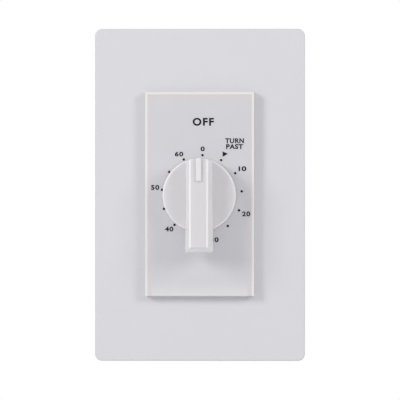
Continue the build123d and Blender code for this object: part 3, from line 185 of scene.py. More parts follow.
class TimerSizes(bpy.types.PropertyGroup):
    plate_wall: length_property("Plate wall", "Thickness of the cover's wall", 2.0)
    plate_corner: length_property("Plate corner", "Radius of the cover's four corners", 2.6)
    plate_edge: length_property("Plate edge", "Rounding of the cover's front rim", 0.5)
    opening_width: length_property("Opening width", "Width of the cover's opening", 33.5)
    opening_height: length_property("Opening height", "Height of the cover's opening", 66.9)
    opening_corner: length_property("Opening corner", "Radius of the opening's corners", 0.6)
    snap_length: length_property("Snap length", "Length of a rib inside the cover", 9.0)
    snap_bite: length_property("Snap bite", "How far a rib stands out of the wall", 0.8)
    snap_thickness: length_property("Snap thickness", "Thickness of a rib", 0.6)
    dial_edge: length_property("Dial edge", "Polished edge round the acrylic", 0.3)
    dial_thickness: length_property("Dial thickness", "Thickness of the acrylic", 3.9)
    dial_bore: length_property("Dial bore", "Radius of the hole for the bushing", 4.85)
    peg_radius: length_property("Peg radius", "Radius of the dial's two pegs", 1.5)
    peg_spacing: length_property("Peg spacing", "Distance between the pegs", 52.0)
    ring_radius: length_property("Ring radius", "Radius of the ring of dots", 14.3)
    dot_radius: length_property("Dot radius", "Radius of a printed dot", 0.44)
    ink_thickness: length_property("Ink thickness", "How far the print stands out", 0.03)
    knob_radius: length_property("Knob radius", "Radius of the round skirt", 13.0)
    skirt_height: length_property("Skirt height", "Depth of the round skirt", 7.5)
    skirt_round: length_property("Skirt round", "Rounding of the skirt's rim", 0.9)
    skirt_wall: length_property("Skirt wall", "Wall of the hollow skirt", 1.8)
    bar_width: length_property("Bar width", "Width of the grip bar's face", 6.7)
    bar_length: length_property("Bar length", "Reach of the bar below the axis", 20.3)
    bar_height: length_property("Bar height", "Height of the bar over the skirt", 8.5)
    bar_round: length_property("Bar round", "Rounding of the bar's edges", 0.6)
    bar_root: length_property("Bar root", "Fillet between the bar and the skirt", 0.7)
    tail_depth: length_property("Tail depth", "Reach of the bar's tail behind the skirt's face", 2.0)
    pointer_width: length_property("Pointer width", "Width of the pointer rib", 1.9)
    pointer_length: length_property("Pointer length", "Length of the pointer rib", 8.2)
    hub_radius: length_property("Hub radius", "Radius of the knob's inner hub", 5.4)
    bore_radius: length_property("Bore radius", "Radius of the hub's bore", 3.215)
    thread_pitch: length_property("Thread pitch", "Pitch of the box screws", 0.8)
    thread_depth: length_property("Thread depth", "Depth of the screws' thread", 0.45)
    case_edge: length_property("Case edge", "Rounding of the moulded case's edges", 0.25)
    bar_draft: bpy.props.FloatProperty(
        name="Bar draft", description="Lean of the bar's sides", subtype="ANGLE",
        default=radians(9.5),
    )


class TimerColours(bpy.types.PropertyGroup):
    plate: colour_property("Plate", "Moulded wall plate", "#DAD9DE")
    acrylic: colour_property("Acrylic", "Milky acrylic of the dial", "#D5D4D9")
    # Painted light: the highlight painted along the acrylic's polished edge and towards its foot, and
    # the warm band painted just inside the edge
    acrylic_painted_light: colour_property("Acrylic edge", "Bright polished edge", "#E8E7E8")
    acrylic_painted_tint: colour_property("Acrylic tint", "Warm band inside the edge", "#D9D3D4")
    knob: colour_property("Knob", "Frosted polymer of the knob", "#DEDBDE")
    # Painted light: the bright colour painted on the knob's thin edges, sides, end and rib
    knob_painted_glow: colour_property("Knob edge", "Thin, brighter edges of the knob", "#F6F5F6")
    ink: colour_property("Ink", "Screen-printed ink", "#08080A")
    steel: colour_property("Zinc steel", "Bright zinc plate", "#B9BDC2")
    brass: colour_property("Brass", "Rolled brass sheet", "#D6BA70")
    phenolic: colour_property("Phenolic", "Black moulded phenolic", "#1E1D1C")
    floor: colour_property("Floor", "Plain pale floor", "#F2F2F2")


def add_node(tree, kind, inputs, **settings):
    """Adds a node; an input is a value or another node's output."""
    node = tree.nodes.new(kind)
    for name, value in settings.items():
        setattr(node, name, value)
    for socket, value in inputs.items():
        if isinstance(value, bpy.types.NodeSocket):
            tree.links.new(value, node.inputs[socket])
        else:
            node.inputs[socket].default_value = value
    return node


def start_finish(name):
    """A new material, emptied, with the socket that gives a point's place on the object."""
    material = bpy.data.materials.new(name)
    material.use_nodes = True
    tree = material.node_tree
    tree.nodes.clear()
    place = add_node(tree, "ShaderNodeTexCoord", {}).outputs["Object"]
    return material, tree, place


def close_finish(tree, sockets):
    """The shader and the output that end every finish."""
    shader = add_node(tree, "ShaderNodeBsdfPrincipled", sockets)
    add_node(tree, "ShaderNodeOutputMaterial", {"Surface": shader.outputs["BSDF"]})


def rgba(colour, level=1.0):
    """A colour's four values, made darker or lighter by a level."""
    return (*(min(1.0, channel * level) for channel in colour), 1.0)


def clouded_colour(tree, place, colour, width, darkest, lightest, detail=2.0):
    """Soft clouds some millimetres wide, and a colour that drifts between two levels with them."""
    clouds = add_node(
        tree, "ShaderNodeTexNoise", {"Vector": place, "Scale": 1 / (width * MM), "Detail": detail}
    )
    tone = add_node(
        tree, "ShaderNodeMix",
        {0: clouds.outputs["Fac"], 6: rgba(colour, darkest), 7: rgba(colour, lightest)},
        data_type="RGBA",
    )
    return clouds.outputs["Fac"], tone.outputs[2]


def grained_skin(tree, place, grain, depth, strength):
    """The grain that a mould leaves, its width and depth in millimetres, as a normal."""
    pits = add_node(
        tree, "ShaderNodeTexNoise", {"Vector": place, "Scale": 1 / (grain * MM), "Detail": 2.0}
    )
    skin = add_node(
        tree, "ShaderNodeBump",
        {"Height": pits.outputs["Fac"], "Distance": depth * MM, "Strength": strength},
    )
    return skin.outputs["Normal"]


def moulded_finish(name, colour, cloud, grain, depth, roughness):
    """Moulded plastic: faint clouds of colour, and the fine matte grain of a spark-eroded mould."""
    material, tree, place = start_finish(name)
    clouds, tone = clouded_colour(
        tree, place, colour, width=14, darkest=1 - cloud, lightest=1 + cloud, detail=3.0
    )
    gloss = add_node(
        tree, "ShaderNodeMapRange",
        {
            "Value": clouds, "To Min": roughness - PLASTIC_SPREAD,
            "To Max": roughness + PLASTIC_SPREAD,
        },
    )
    close_finish(
        tree,
        {
            "Base Color": tone,
            "Roughness": gloss.outputs["Result"],
            "Normal": grained_skin(tree, place, grain, depth, strength=0.6),
        },
    )
    return material


def metal_finish(name, light, dark, streaks, roughness, depth):
    """Bare or plated metal: streaks as long as the tool or the rolls left them, in two tones. Their
    three lengths and their depth are in millimetres."""
    material, tree, place = start_finish(name)
    along = add_node(
        tree, "ShaderNodeMapping",
        {"Vector": place, "Scale": [1 / (length * MM) for length in streaks]},
    )
    lines = add_node(
        tree, "ShaderNodeTexNoise",
        {"Vector": along.outputs["Vector"], "Scale": 1.0, "Detail": 4.0, "Roughness": 0.6},
    )
    tone = add_node(
        tree, "ShaderNodeMix", {0: lines.outputs["Fac"], 6: rgba(dark), 7: rgba(light)},
        data_type="RGBA",
    )
    gloss = add_node(
        tree, "ShaderNodeMapRange",
        {
            "Value": lines.outputs["Fac"], "To Min": roughness + METAL_SPREAD,
            "To Max": roughness - METAL_SPREAD,
        },
    )
    skin = add_node(
        tree, "ShaderNodeBump",
        {"Height": lines.outputs["Fac"], "Distance": depth * MM, "Strength": 0.5},
    )
    close_finish(
        tree,
        {
            "Base Color": tone.outputs[2],
            "Metallic": 1.0,
            "Roughness": gloss.outputs["Result"],
            "Normal": skin.outputs["Normal"],
        },
    )
    return material


def acrylic_finish(colours):
    """Cast milky acrylic: gloss over a soft glow, with painted light on top: a painted highlight along
    the polished edge, a warm painted band just inside it at the head and sides, and a painted glow
    that makes it paler towards the foot."""
    material, tree, place = start_finish("milky_acrylic")
    low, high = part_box("dial_plate")
    half_width, half_height = (high.x - low.x) / 2, (high.z - low.z) / 2
    middle = Vector((0, 0, (high.z + low.z) / 2))
    centred = add_node(tree, "ShaderNodeMapping", {"Vector": place, "Location": -middle})
    parts = add_node(tree, "ShaderNodeSeparateXYZ", {"Vector": centred.outputs["Vector"]})
    side = add_node(tree, "ShaderNodeMath", {0: parts.outputs["X"]}, operation="ABSOLUTE")
    from_side = add_node(
        tree, "ShaderNodeMath", {0: half_width, 1: side.outputs[0]}, operation="SUBTRACT"
    )
    from_head = add_node(
        tree, "ShaderNodeMath", {0: half_height, 1: parts.outputs["Z"]}, operation="SUBTRACT"
    )
    from_foot = add_node(
        tree, "ShaderNodeMath", {0: parts.outputs["Z"], 1: half_height}, operation="ADD"
    )
    inside = add_node(
        tree, "ShaderNodeMath", {0: from_side.outputs[0], 1: from_head.outputs[0]},
        operation="MINIMUM",
    )
    clouds, tone = clouded_colour(
        tree, place, colours.acrylic, width=18, darkest=0.98, lightest=1.02
    )

    # Each painted light laid over the milk fades out between two distances, in millimetres, from an
    # edge where it covers all but a share of what lies under it: the painted glow at the foot, the
    # warm painted band and the painted highlight along the edge
    for distance, start, end, bare_share, colour in (
        (from_foot, 0.0, 6.0, 1 - FOOT_PAINTED_GLOW, colours.acrylic_painted_light),
        (inside, 1.6, 3.0, 0.0, colours.acrylic_painted_tint),
        (inside, 0.5, 1.2, 0.0, colours.acrylic_painted_light),
    ):
        fade = add_node(
            tree, "ShaderNodeMapRange",
            {
                "Value": distance.outputs[0], "From Min": start * MM, "From Max": end * MM,
                "To Min": bare_share,
            },
            interpolation_type="SMOOTHSTEP",
        )
        tone = add_node(
            tree, "ShaderNodeMix", {0: fade.outputs["Result"], 6: rgba(colour), 7: tone},
            data_type="RGBA",
        ).outputs[2]
    gloss = add_node(tree, "ShaderNodeMapRange", {"Value": clouds, "To Min": 0.2, "To Max": 0.26})
    close_finish(
        tree,
        {
            "Base Color": tone,
            "Roughness": gloss.outputs["Result"],
            "IOR": 1.49,
            "Subsurface Weight": 0.3,
            "Subsurface Radius": (1.0, 0.9, 0.85),
            "Subsurface Scale": 1.2 * MM,
        },
    )
    return material


def knob_finish(colours, sizes):
    """Frosted polypropylene with painted light: the skirt's rim, the bar's edges, sides and end and
    the rib are painted brighter than the broad faces, standing in for light that soaks in and leaves
    again where the wall is thin, and lightening the shade on the end that faces down."""
    material, tree, place = start_finish("frosted_polypropylene")
    low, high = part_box("knob")
    radius, rim_round, bar_round = sizes.knob_radius, sizes.skirt_round, sizes.bar_round
    skirt_front = high.y - sizes.skirt_height
    bar_front = skirt_front - sizes.bar_height
    slope = tan(sizes.bar_draft)
    half_face = sizes.bar_width / 2
    half_bar = half_face - bar_front * slope
    face_end = sizes.bar_height * slope - sizes.bar_length

    parts = add_node(tree, "ShaderNodeSeparateXYZ", {"Vector": place})
    depth, up = parts.outputs["Y"], parts.outputs["Z"]
    side = add_node(
        tree, "ShaderNodeMath", {0: parts.outputs["X"]}, operation="ABSOLUTE"
    ).outputs[0]
    flat = add_node(tree, "ShaderNodeVectorMath", {0: place, 1: (1, 0, 1)}, operation="MULTIPLY")
    reach = add_node(
        tree, "ShaderNodeVectorMath", {0: flat.outputs["Vector"]}, operation="LENGTH"
    ).outputs["Value"]
    leaning = add_node(
        tree, "ShaderNodeMath", {0: depth, 1: -slope, 2: side}, operation="MULTIPLY_ADD"
    ).outputs[0]

    # Each region of painted light on the knob fades in between two places, to a level
    painted_glows = {}
    for name, value, start, end, level in (
        ("rim", reach, radius - 0.65 * rim_round, radius - 0.25 * rim_round, 1.0),
        ("skirt", depth, skirt_front - sizes.bar_root / 2, skirt_front, 1.0),
        ("beyond", reach, radius + 0.1 * rim_round, radius + 0.3 * rim_round, 1.0),
        ("tail", reach, radius + 0.1 * rim_round, radius + 0.3 * rim_round, FLANK_PAINTED_GLOW),
        ("flank", depth, skirt_front, skirt_front - sizes.bar_root / 4, FLANK_PAINTED_GLOW),
        ("edge", side, half_face - 1.3 * bar_round, half_face - 0.5 * bar_round, 1.0),
        ("face", depth, bar_front + 2 * bar_round, bar_front, 1.0),
        ("end", up, face_end + bar_round / 2, face_end - bar_round / 2, END_PAINTED_GLOW),
        ("between", leaning, half_bar - bar_round / 10, half_bar - bar_round / 2, 1.0),
    ):
        painted_glows[name] = add_node(
            tree, "ShaderNodeMapRange",
            {"Value": value, "From Min": start, "From Max": end, "To Max": level},
            interpolation_type="SMOOTHSTEP",
        ).outputs["Result"]
    painted_glows["rib"] = add_node(
        tree, "ShaderNodeMapRange",
        {"Value": depth, "From Min": bar_front, "From Max": low.y, "To Max": RIB_PAINTED_GLOW},
    ).outputs["Result"]

    # How the regions of painted light meet, down to the one painted glow over them all
    for name, first, how, second in (
        ("round_rim", "rim", "SUBTRACT", "beyond"),
        ("thin_rim", "round_rim", "MULTIPLY", "skirt"),
        ("thin_edge", "edge", "MULTIPLY", "face"),
        ("whole_flank", "flank", "MAXIMUM", "tail"),
        ("bar_side", "whole_flank", "SUBTRACT", "face"),
        ("end_face", "end", "MULTIPLY", "between"),
        ("sides", "bar_side", "MAXIMUM", "end_face"),
        ("bar", "thin_edge", "MAXIMUM", "sides"),
        ("bar_and_rim", "thin_rim", "MAXIMUM", "bar"),
        ("all", "bar_and_rim", "MAXIMUM", "rib"),
    ):
        painted_glows[name] = add_node(
            tree, "ShaderNodeMath", {0: painted_glows[first], 1: painted_glows[second]}, operation=how,
            use_clamp=how == "SUBTRACT",
        ).outputs[0]

    clouds, milk = clouded_colour(
        tree, place, colours.knob, width=9, darkest=0.985, lightest=1.015
    )
    tone = add_node(
        tree, "ShaderNodeMix", {0: painted_glows["all"], 6: milk, 7: rgba(colours.knob_painted_glow)},
        data_type="RGBA", clamp_factor=False, clamp_result=True,
    )
    gloss = add_node(tree, "ShaderNodeMapRange", {"Value": clouds, "To Min": 0.3, "To Max": 0.4})
    close_finish(
        tree,
        {
            "Base Color": tone.outputs[2],
            "Roughness": gloss.outputs["Result"],
            "Normal": grained_skin(tree, place, grain=0.3, depth=0.006, strength=0.5),
            "IOR": 1.49,
            "Subsurface Weight": 0.5,
            "Subsurface Radius": (1.0, 0.95, 0.93),
            "Subsurface Scale": 1.6 * MM,
        },
    )
    return material


def printed_finish(colours):
    """Screen-printed ink: a matte film, a little thinner in specks of the mesh."""
    material, tree, place = start_finish("screen_printed_ink")
    tone = clouded_colour(tree, place, colours.ink, width=0.25, darkest=0.8, lightest=1.3)[1]
    close_finish(tree, {"Base Color": tone, "Roughness": 0.6, "Specular IOR Level": 0.25})
    return material


def make_finishes(colours, sizes):
    """Every finish of the switch, by its slot in the record; grains and streaks in millimetres."""
    return {
        # Polycarbonate from a spark-eroded mould: even and matte, with a grain just felt
        "plate_plastic": moulded_finish(
            "moulded_polycarbonate", colours.plate, cloud=0.012, grain=0.35, depth=0.012,
            roughness=0.42,
        ),
        # ABS from a rougher mould: a shade darker and duller than the plate in front of it
        "adapter_plastic": moulded_finish(
            "moulded_abs", linear("#D2D1D4"), cloud=0.015, grain=0.4, depth=0.015, roughness=0.5
        ),
        "knob_plastic": knob_finish(colours, sizes),
        # Acetal, moulded without a dye: cream and waxy, with a soft gloss
        "cam_plastic": moulded_finish(
            "moulded_acetal", linear("#D6D2C6"), cloud=0.02, grain=0.5, depth=0.01, roughness=0.35
        ),
        # Compression-moulded phenolic: black with faint brown flow clouds and a dull gloss
        "black_phenolic": moulded_finish(
            "moulded_phenolic", colours.phenolic, cloud=0.25, grain=0.6, depth=0.02, roughness=0.4
        ),
        # Vulcanised fibre board: mottled grey with a felted, dry surface
        "grey_fibre": moulded_finish(
            "vulcanised_fibre", linear("#6E6B68"), cloud=0.12, grain=0.8, depth=0.03,
            roughness=0.68,
        ),
        "milky_acrylic": acrylic_finish(colours),
        # Zinc plate on rolled steel: bright, with soft cloudy crystals
        "zinc_steel": metal_finish(
            "zinc_plated_steel", colours.steel, linear("#9A9FA6"), streaks=(2.5, 2.5, 6),
            roughness=0.36, depth=0.01,
        ),
        # Zinc plate dyed green, as an earth screw is: a clear colour over the same crystals
        "green_steel": metal_finish(
            "green_zinc_plate", linear("#3F8A55"), linear("#2B6B3F"), streaks=(2, 2, 2),
            roughness=0.38, depth=0.01,
        ),
        # Nickel plate on turned brass: smooth and glossy, a little warmer than zinc
        "nickel_brass": metal_finish(
            "nickel_plated_brass", linear("#C9C5BA"), linear("#B1AC9F"), streaks=(3, 3, 3),
            roughness=0.19, depth=0.004,
        ),
        # Rolled brass sheet: fine lines along the strip
        "brass": metal_finish(
            "rolled_brass", colours.brass, linear("#BC9A55"), streaks=(0.15, 0.15, 9),
            roughness=0.36, depth=0.006,
        ),
        # Turned steel: rings round the axis, each a feed of the tool wide
        "turned_steel": metal_finish(
            "turned_steel", linear("#B4B7BB"), linear("#8F9398"), streaks=(6, 0.12, 6),
            roughness=0.36, depth=0.006,
        ),
        # Tempered spring strip: blue-grey, drawn lengthwise
        "spring_steel": metal_finish(
            "tempered_spring_steel", linear("#7C828E"), linear("#5A606C"), streaks=(5, 0.2, 5),
            roughness=0.36, depth=0.004,
        ),
        # Phosphor bronze: warm strip with a light brown tarnish
        "copper_alloy": metal_finish(
            "phosphor_bronze", linear("#C08A5E"), linear("#9C6B45"), streaks=(0.3, 3, 7),
            roughness=0.36, depth=0.005,
        ),
        "ink": printed_finish(colours),
    }


def shared_finishes(scene):
    """The finishes, made once for the whole scene."""
    if not finishes:
        finishes.update(make_finishes(scene.timer_colours, scene.timer_sizes))
    return finishes


def select_only(*pieces):
    """Selects these pieces and nothing else, the first of them active."""
    bpy.ops.object.select_all(action="DESELECT")
    for piece in pieces:
        piece.select_set(True)
    bpy.context.view_layer.objects.active = pieces[0]


def settle(piece):
    """Puts a piece's place, turn and scale in its mesh."""
    select_only(piece)
    bpy.ops.object.transform_apply(location=True, rotation=True, scale=True)


def add_object(name, add, **settings):
    """Adds an object by its operator, with nothing else selected, and names it."""
    bpy.ops.object.select_all(action="DESELECT")
    add(**settings)
    piece = bpy.context.object
    piece.name = name
    return piece


def add_block(name, low, high):
    """A block between two corners, to be shaped further."""
    low, high = Vector(low), Vector(high)
    piece = add_object(name, bpy.ops.mesh.primitive_cube_add, size=1, location=(low + high) / 2)
    piece.scale = high - low
    settle(piece)
    return piece


def add_rod(name, radius, back, front, centre=(0, 0), sides=96):
    """A rod along the knob's axis; its ends are given as places along that axis."""
    piece = add_object(
        name, bpy.ops.mesh.primitive_cylinder_add,
        vertices=sides, radius=radius, depth=abs(back - front),
        location=(centre[0], (back + front) / 2, centre[1]), rotation=(pi / 2, 0, 0),
    )
    settle(piece)
    return piece


def open_all(piece):
    """Opens a piece for editing with all of it selected."""
    select_only(piece)
    bpy.ops.object.mode_set(mode="EDIT")
    bpy.ops.mesh.select_all(action="SELECT")


def close():
    """Ends the editing of a piece."""
    bpy.ops.object.mode_set(mode="OBJECT")


def clear_picks(piece, kind):
    """Deselects all of a piece, so that its edges or faces can be selected one by one."""
    open_all(piece)
    bpy.ops.mesh.select_mode(type=kind)
    bpy.ops.mesh.select_all(action="DESELECT")
    close()


def round_edges(piece, test, width, steps):
    """Rounds the edges whose two ends pass a test."""
    clear_picks(piece, "EDGE")
    points = piece.data.vertices
    for edge in piece.data.edges:
        first, second = (points[place].co for place in edge.vertices)
        edge.select = test(first, second)
    bpy.ops.object.mode_set(mode="EDIT")
    bpy.ops.mesh.bevel(offset=width, offset_type="OFFSET", segments=steps, affect="EDGES")
    close()


def draw_in_face(piece, shares, about):
    """Shrinks the face that looks at the room by its share along each axis, about a point."""
    clear_picks(piece, "FACE")
    for face in piece.data.polygons:
        face.select = face.normal.y < FACES_ROOM
    bpy.ops.object.mode_set(mode="EDIT")
    bpy.ops.transform.resize(value=shares, center_override=about)
    close()


def along_axis(first, second):
    """Whether an edge runs along the knob's axis."""
    return abs(first.y - second.y) > SPARE


def at_front(plane):
    """A test for edges that lie on a plane across the axis, or in front of it."""
    return lambda first, second: max(first.y, second.y) < plane + NEAR


def at_back(plane):
    """A test for edges that lie on a plane across the axis, or behind it."""
    return lambda first, second: min(first.y, second.y) > plane - NEAR


def trim(piece, point, outward):
    """Cuts away what lies beyond a plane and closes the cut."""
    open_all(piece)
    bpy.ops.mesh.bisect(
        plane_co=point, plane_no=outward, use_fill=True, clear_outer=True, threshold=ON_CUT
    )
    close()


def apply_modifier(piece, kind, **settings):
    """Gives a piece a modifier and applies it."""
    modifier = piece.modifiers.new(kind.lower(), kind)
    for name, value in settings.items():
        setattr(modifier, name, value)
    select_only(piece)
    bpy.ops.object.modifier_apply(modifier=modifier.name)


def combine(piece, other, how):
    """Joins, cuts or crosses a piece with another, which is used up."""
    apply_modifier(piece, "BOOLEAN", operation=how, object=other, solver="EXACT")
    bpy.data.objects.remove(other)


def soften(piece, width, steps, angle):
    """Rounds every edge sharper than an angle."""
    apply_modifier(
        piece, "BEVEL",
        width=width, segments=steps, limit_method="ANGLE", angle_limit=radians(angle),
    )


def finish_piece(piece, body, slot, *nodes, finish=None):
    """Shades a piece, gives it its slot's finish or another, ties it to the body that it rides on,
    and hides the nodes that it stands for."""
    select_only(piece)
    bpy.ops.object.shade_smooth_by_angle(angle=radians(SMOOTH_ANGLE))
    apply_modifier(piece, "WEIGHTED_NORMAL", keep_sharp=True)
    piece.data.materials.clear()
    piece.data.materials.append(shared_finishes(bpy.context.scene)[finish or slot])
    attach(piece, body)
    if nodes:
        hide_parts(*nodes)


def merged_copy(node, name):
    """A copy of a node's mesh with its loose triangles merged, to be shaped further."""
    piece = bpy.data.objects.new(name, frame["nodes"][node].data.copy())
    bpy.context.scene.collection.objects.link(piece)
    open_all(piece)
    bpy.ops.mesh.remove_doubles(threshold=MERGE)
    bpy.ops.mesh.dissolve_limited(angle_limit=radians(1))
    close()
    return piece


class TIMER_OT_stage(bpy.types.Operator):
    """Sets up the floor, the lamps, the white backdrop and the camera"""

    bl_idname = "timer.stage"
    bl_label = "Stage"

    def execute(self, context):
        make_floor(context.scene.timer_colours)
        make_backdrop(context.scene)
        make_lamp("lamp_left", -LAMP_AZIMUTH, KEY_POWER)
        make_lamp("lamp_right", LAMP_AZIMUTH, FILL_POWER)
        make_camera(context.scene)
        return {"FINISHED"}


def make_floor(colours):
    """A plain pale floor well below the switch."""
    floor = add_object(
        "floor", bpy.ops.mesh.primitive_plane_add, size=FLOOR_SIZE, location=(0, 0, -FLOOR_DROP)
    )
    material, tree, place = start_finish("painted_floor")
    tone = clouded_colour(
        tree, place, colours.floor, width=60, darkest=0.985, lightest=1.0, detail=3.0
    )[1]
    close_finish(tree, {"Base Color": tone, "Roughness": 0.6})
    floor.data.materials.append(material)


def make_backdrop(scene):
    """A world that is white to the eye and soft, plain light to the object."""
    world = bpy.data.worlds.new("soft_studio")
    world.use_nodes = True
    tree = world.node_tree
    tree.nodes.clear()
    rays = add_node(tree, "ShaderNodeLightPath", {})
    seen = rays.outputs["Is Camera Ray"]
    for ray in ("Is Glossy Ray", "Is Transmission Ray"):
        seen = add_node(
            tree, "ShaderNodeMath", {0: seen, 1: rays.outputs[ray]}, operation="MAXIMUM"
        ).outputs[0]
    strength = add_node(
        tree, "ShaderNodeMapRange", {"Value": seen, "To Min": AMBIENT, "To Max": 1.0}
    )
    sky = add_node(
        tree, "ShaderNodeBackground",
        {"Color": (1, 1, 1, 1), "Strength": strength.outputs["Result"]},
    )
    add_node(tree, "ShaderNodeOutputWorld", {"Surface": sky.outputs["Background"]})
    scene.world = world


def direction_to(azimuth, elevation):
    """The way from the switch to an azimuth and an elevation, given in degrees."""
    across, up = radians(azimuth), radians(elevation)
    return Vector((sin(across) * cos(up), -cos(across) * cos(up), sin(up)))


def make_lamp(name, azimuth, power):
    """A soft round lamp that faces the switch."""
    direction = direction_to(azimuth, LAMP_ELEVATION)
    lamp = add_object(
        name, bpy.ops.object.light_add, type="AREA", location=direction * LAMP_DISTANCE
    )
    lamp.data.shape = "DISK"
    lamp.data.size = LAMP_SIZE
    lamp.data.energy = power
    lamp.rotation_euler = direction.to_track_quat("Z", "Y").to_euler()


def make_camera(scene):
    """The photograph's camera: a long lens, almost square on to the plate."""
    scale = PHOTO_SCALE / MM
    across, down = ((PHOTO_WIDTH / 2 - pixel) / scale for pixel in PLATE_CENTRE)
    aim = Vector((across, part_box("wall_plate_cover")[0].y, -down))
    direction = direction_to(CAMERA_AZIMUTH, CAMERA_ELEVATION)
    camera = add_object(
        "camera", bpy.ops.object.camera_add, location=aim + direction * CAMERA_DISTANCE
    )
    camera.rotation_euler = direction.to_track_quat("Z", "Y").to_euler()
    camera.data.sensor_width = SENSOR
    camera.data.lens = SENSOR * CAMERA_DISTANCE * scale / PHOTO_WIDTH
    scene.camera = camera


class TIMER_OT_wall_plate(bpy.types.Operator):
    """Models the hollow, screwless cover with its opening and the ribs that snap over the frame"""

    bl_idname = "timer.wall_plate"
    bl_label = "Wall Plate"

    def execute(self, context):
        sizes = context.scene.timer_sizes
        low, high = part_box("wall_plate_cover")
        cover = add_block("wall_plate", low, high)
        round_edges(cover, along_axis, sizes.plate_corner, steps=10)
        round_edges(cover, at_front(low.y), sizes.plate_edge, steps=5)
        wall = Vector((sizes.plate_wall, 0, sizes.plate_wall))
        floor = low + wall + Vector((0, sizes.plate_wall, 0))
        hollow = add_block("hollow", floor, high - wall + Vector((0, SPARE, 0)))
        round_edges(hollow, along_axis, sizes.plate_corner - sizes.plate_wall / 2, steps=6)
        combine(cover, hollow, "DIFFERENCE")
        half = Vector((sizes.opening_width / 2, 0, sizes.opening_height / 2))
        opening = add_block(
            "opening", Vector((0, low.y - SPARE, 0)) - half, Vector((0, SPARE, 0)) + half
        )
        round_edges(opening, along_axis, sizes.opening_corner, steps=4)
        combine(cover, opening, "DIFFERENCE")
        for rib in snap_ribs(sizes, high - low):
            combine(cover, rib, "UNION")
        finish_piece(cover, HOUSING, "plate_plastic", "wall_plate_cover")
        return {"FINISHED"}


def snap_ribs(sizes, size):
    """Eight ribs inside the cover's walls, their backs ramped so that they ride over the frame."""
    root = sizes.plate_wall / 4
    half = sizes.snap_length / 2
    back = RIB_FRONT + sizes.snap_thickness
    ribs = []
    for side in (-1, 1):
        for across, along, share in ((0, 2, RIB_SIDE_SHARE), (2, 0, RIB_END_SHARE)):
            inner = size[across] / 2 - sizes.plate_wall
            tip = side * (inner - sizes.snap_bite)
            for place in (-size[along] * share, size[along] * share):
                low, high = Vector((0, RIB_FRONT, 0)), Vector((0, back, 0))
                low[across], high[across] = sorted((tip, side * (inner + root)))
                low[along], high[along] = place - half, place + half
                rib = add_block("rib", low, high)
                round_edges(
                    rib,
                    lambda a, b: max(abs(a[across] - tip), abs(b[across] - tip)) < NEAR
                    and at_back(back)(a, b),
                    sizes.snap_bite / 2,
                    steps=2,
                )
                ribs.append(rib)
    return ribs


class TIMER_OT_dial(bpy.types.Operator):
    """Models the acrylic slab with its polished edges, its bore and its two pegs"""

    bl_idname = "timer.dial"
    bl_label = "Dial Plate"

    def execute(self, context):
        sizes = context.scene.timer_sizes
        low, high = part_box("dial_plate")
        back = low.y + sizes.dial_thickness
        dial = add_block("dial_slab", low, (high.x, back, high.z))
        round_edges(dial, lambda a, b: min(a.y, b.y) < low.y + NEAR, sizes.dial_edge, steps=3)
        bore = add_rod("bore", sizes.dial_bore, back + SPARE, low.y - SPARE)
        combine(dial, bore, "DIFFERENCE")
        for side in (-1, 1):
            peg = add_rod(
                "peg", sizes.peg_radius, high.y, back - SPARE,
                centre=(0, side * sizes.peg_spacing / 2), sides=32,
            )
            round_edges(peg, at_back(high.y), sizes.dial_edge, steps=2)
            combine(dial, peg, "UNION")
        finish_piece(dial, HOUSING, "milky_acrylic", "dial_plate")
        return {"FINISHED"}


class TIMER_OT_scale(bpy.types.Operator):
    """Prints the dial: the ring of dots, the minutes, and the words and arrow above them"""

    bl_idname = "timer.scale"
    bl_label = "Printed Scale"

    def execute(self, context):
        sizes = context.scene.timer_sizes
        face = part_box("dial_plate")[0].y
        ink = sizes.ink_thickness
        marks = [print_word(face, ink, *label) for label in LABELS]
        across, up = scale_point(DOTS_CENTRE)
        for step in range(DOTS):
            turn = radians(DOTS_TURN + 360 * step / DOTS)
            centre = (
                across + sizes.ring_radius * sin(turn), up + sizes.ring_radius * cos(turn)
            )
            marks.append(add_rod("dot", sizes.dot_radius, face + ink, face - ink, centre, sides=24))
        marks.append(print_arrow(face, ink))
        select_only(*marks)
        bpy.ops.object.join()
        scale = bpy.context.object
        scale.name = "printed_scale"
        finish_piece(scale, HOUSING, "milky_acrylic", finish="ink")
        return {"FINISHED"}


def scale_point(pixel):
    """A pixel of the printed scale as a place on the dial: across and up, in metres."""
    return (
        (pixel[0] - SCALE_CENTRE[0]) / SCALE_PER_MM * MM,
        (SCALE_CENTRE[1] - pixel[1]) / SCALE_PER_MM * MM,
    )


def print_word(face, thickness, text, x, y, width, height, weight, spacing):
    """A word or number in raised ink, drawn to the width and height that it has in the photograph."""
    word = add_object("word", bpy.ops.object.text_add)
    word.data.body = text
    word.data.align_x = "CENTER"
    word.data.align_y = "CENTER"
    word.data.offset = weight
    word.data.space_character = spacing
    word.data.extrude = WORD_EXTRUDE
    word.data.resolution_u = WORD_STEPS
    bpy.ops.object.convert(target="MESH")
    word = bpy.context.object
    middle = (Vector(word.bound_box[0]) + Vector(word.bound_box[6])) / 2
    open_all(word)
    bpy.ops.mesh.remove_doubles(threshold=WORD_MERGE)
    bpy.ops.transform.translate(value=(-middle.x, -middle.y, 0))
    close()
    across, up = scale_point((x, y))
    word.scale = (
        width / SCALE_PER_MM * MM / word.dimensions.x,
        height / SCALE_PER_MM * MM / word.dimensions.y,
        thickness / WORD_EXTRUDE,
    )
    word.rotation_euler = (pi / 2, 0, 0)
    word.location = (across, face, up)
    settle(word)
    return word


def print_arrow(face, thickness):
    """The small filled arrowhead under the words: a block trimmed between its three corners."""
    corners = [scale_point(corner) for corner in ARROW]
    across, up = zip(*corners)
    arrow = add_block(
        "arrow",
        (min(across), face - thickness, min(up)), (max(across), face + thickness, max(up)),
    )
    for first, second in zip(corners, corners[1:] + corners[:1]):
        outward = (first[1] - second[1], 0, second[0] - first[0])
        trim(arrow, (first[0], face, first[1]), outward)
    return arrow


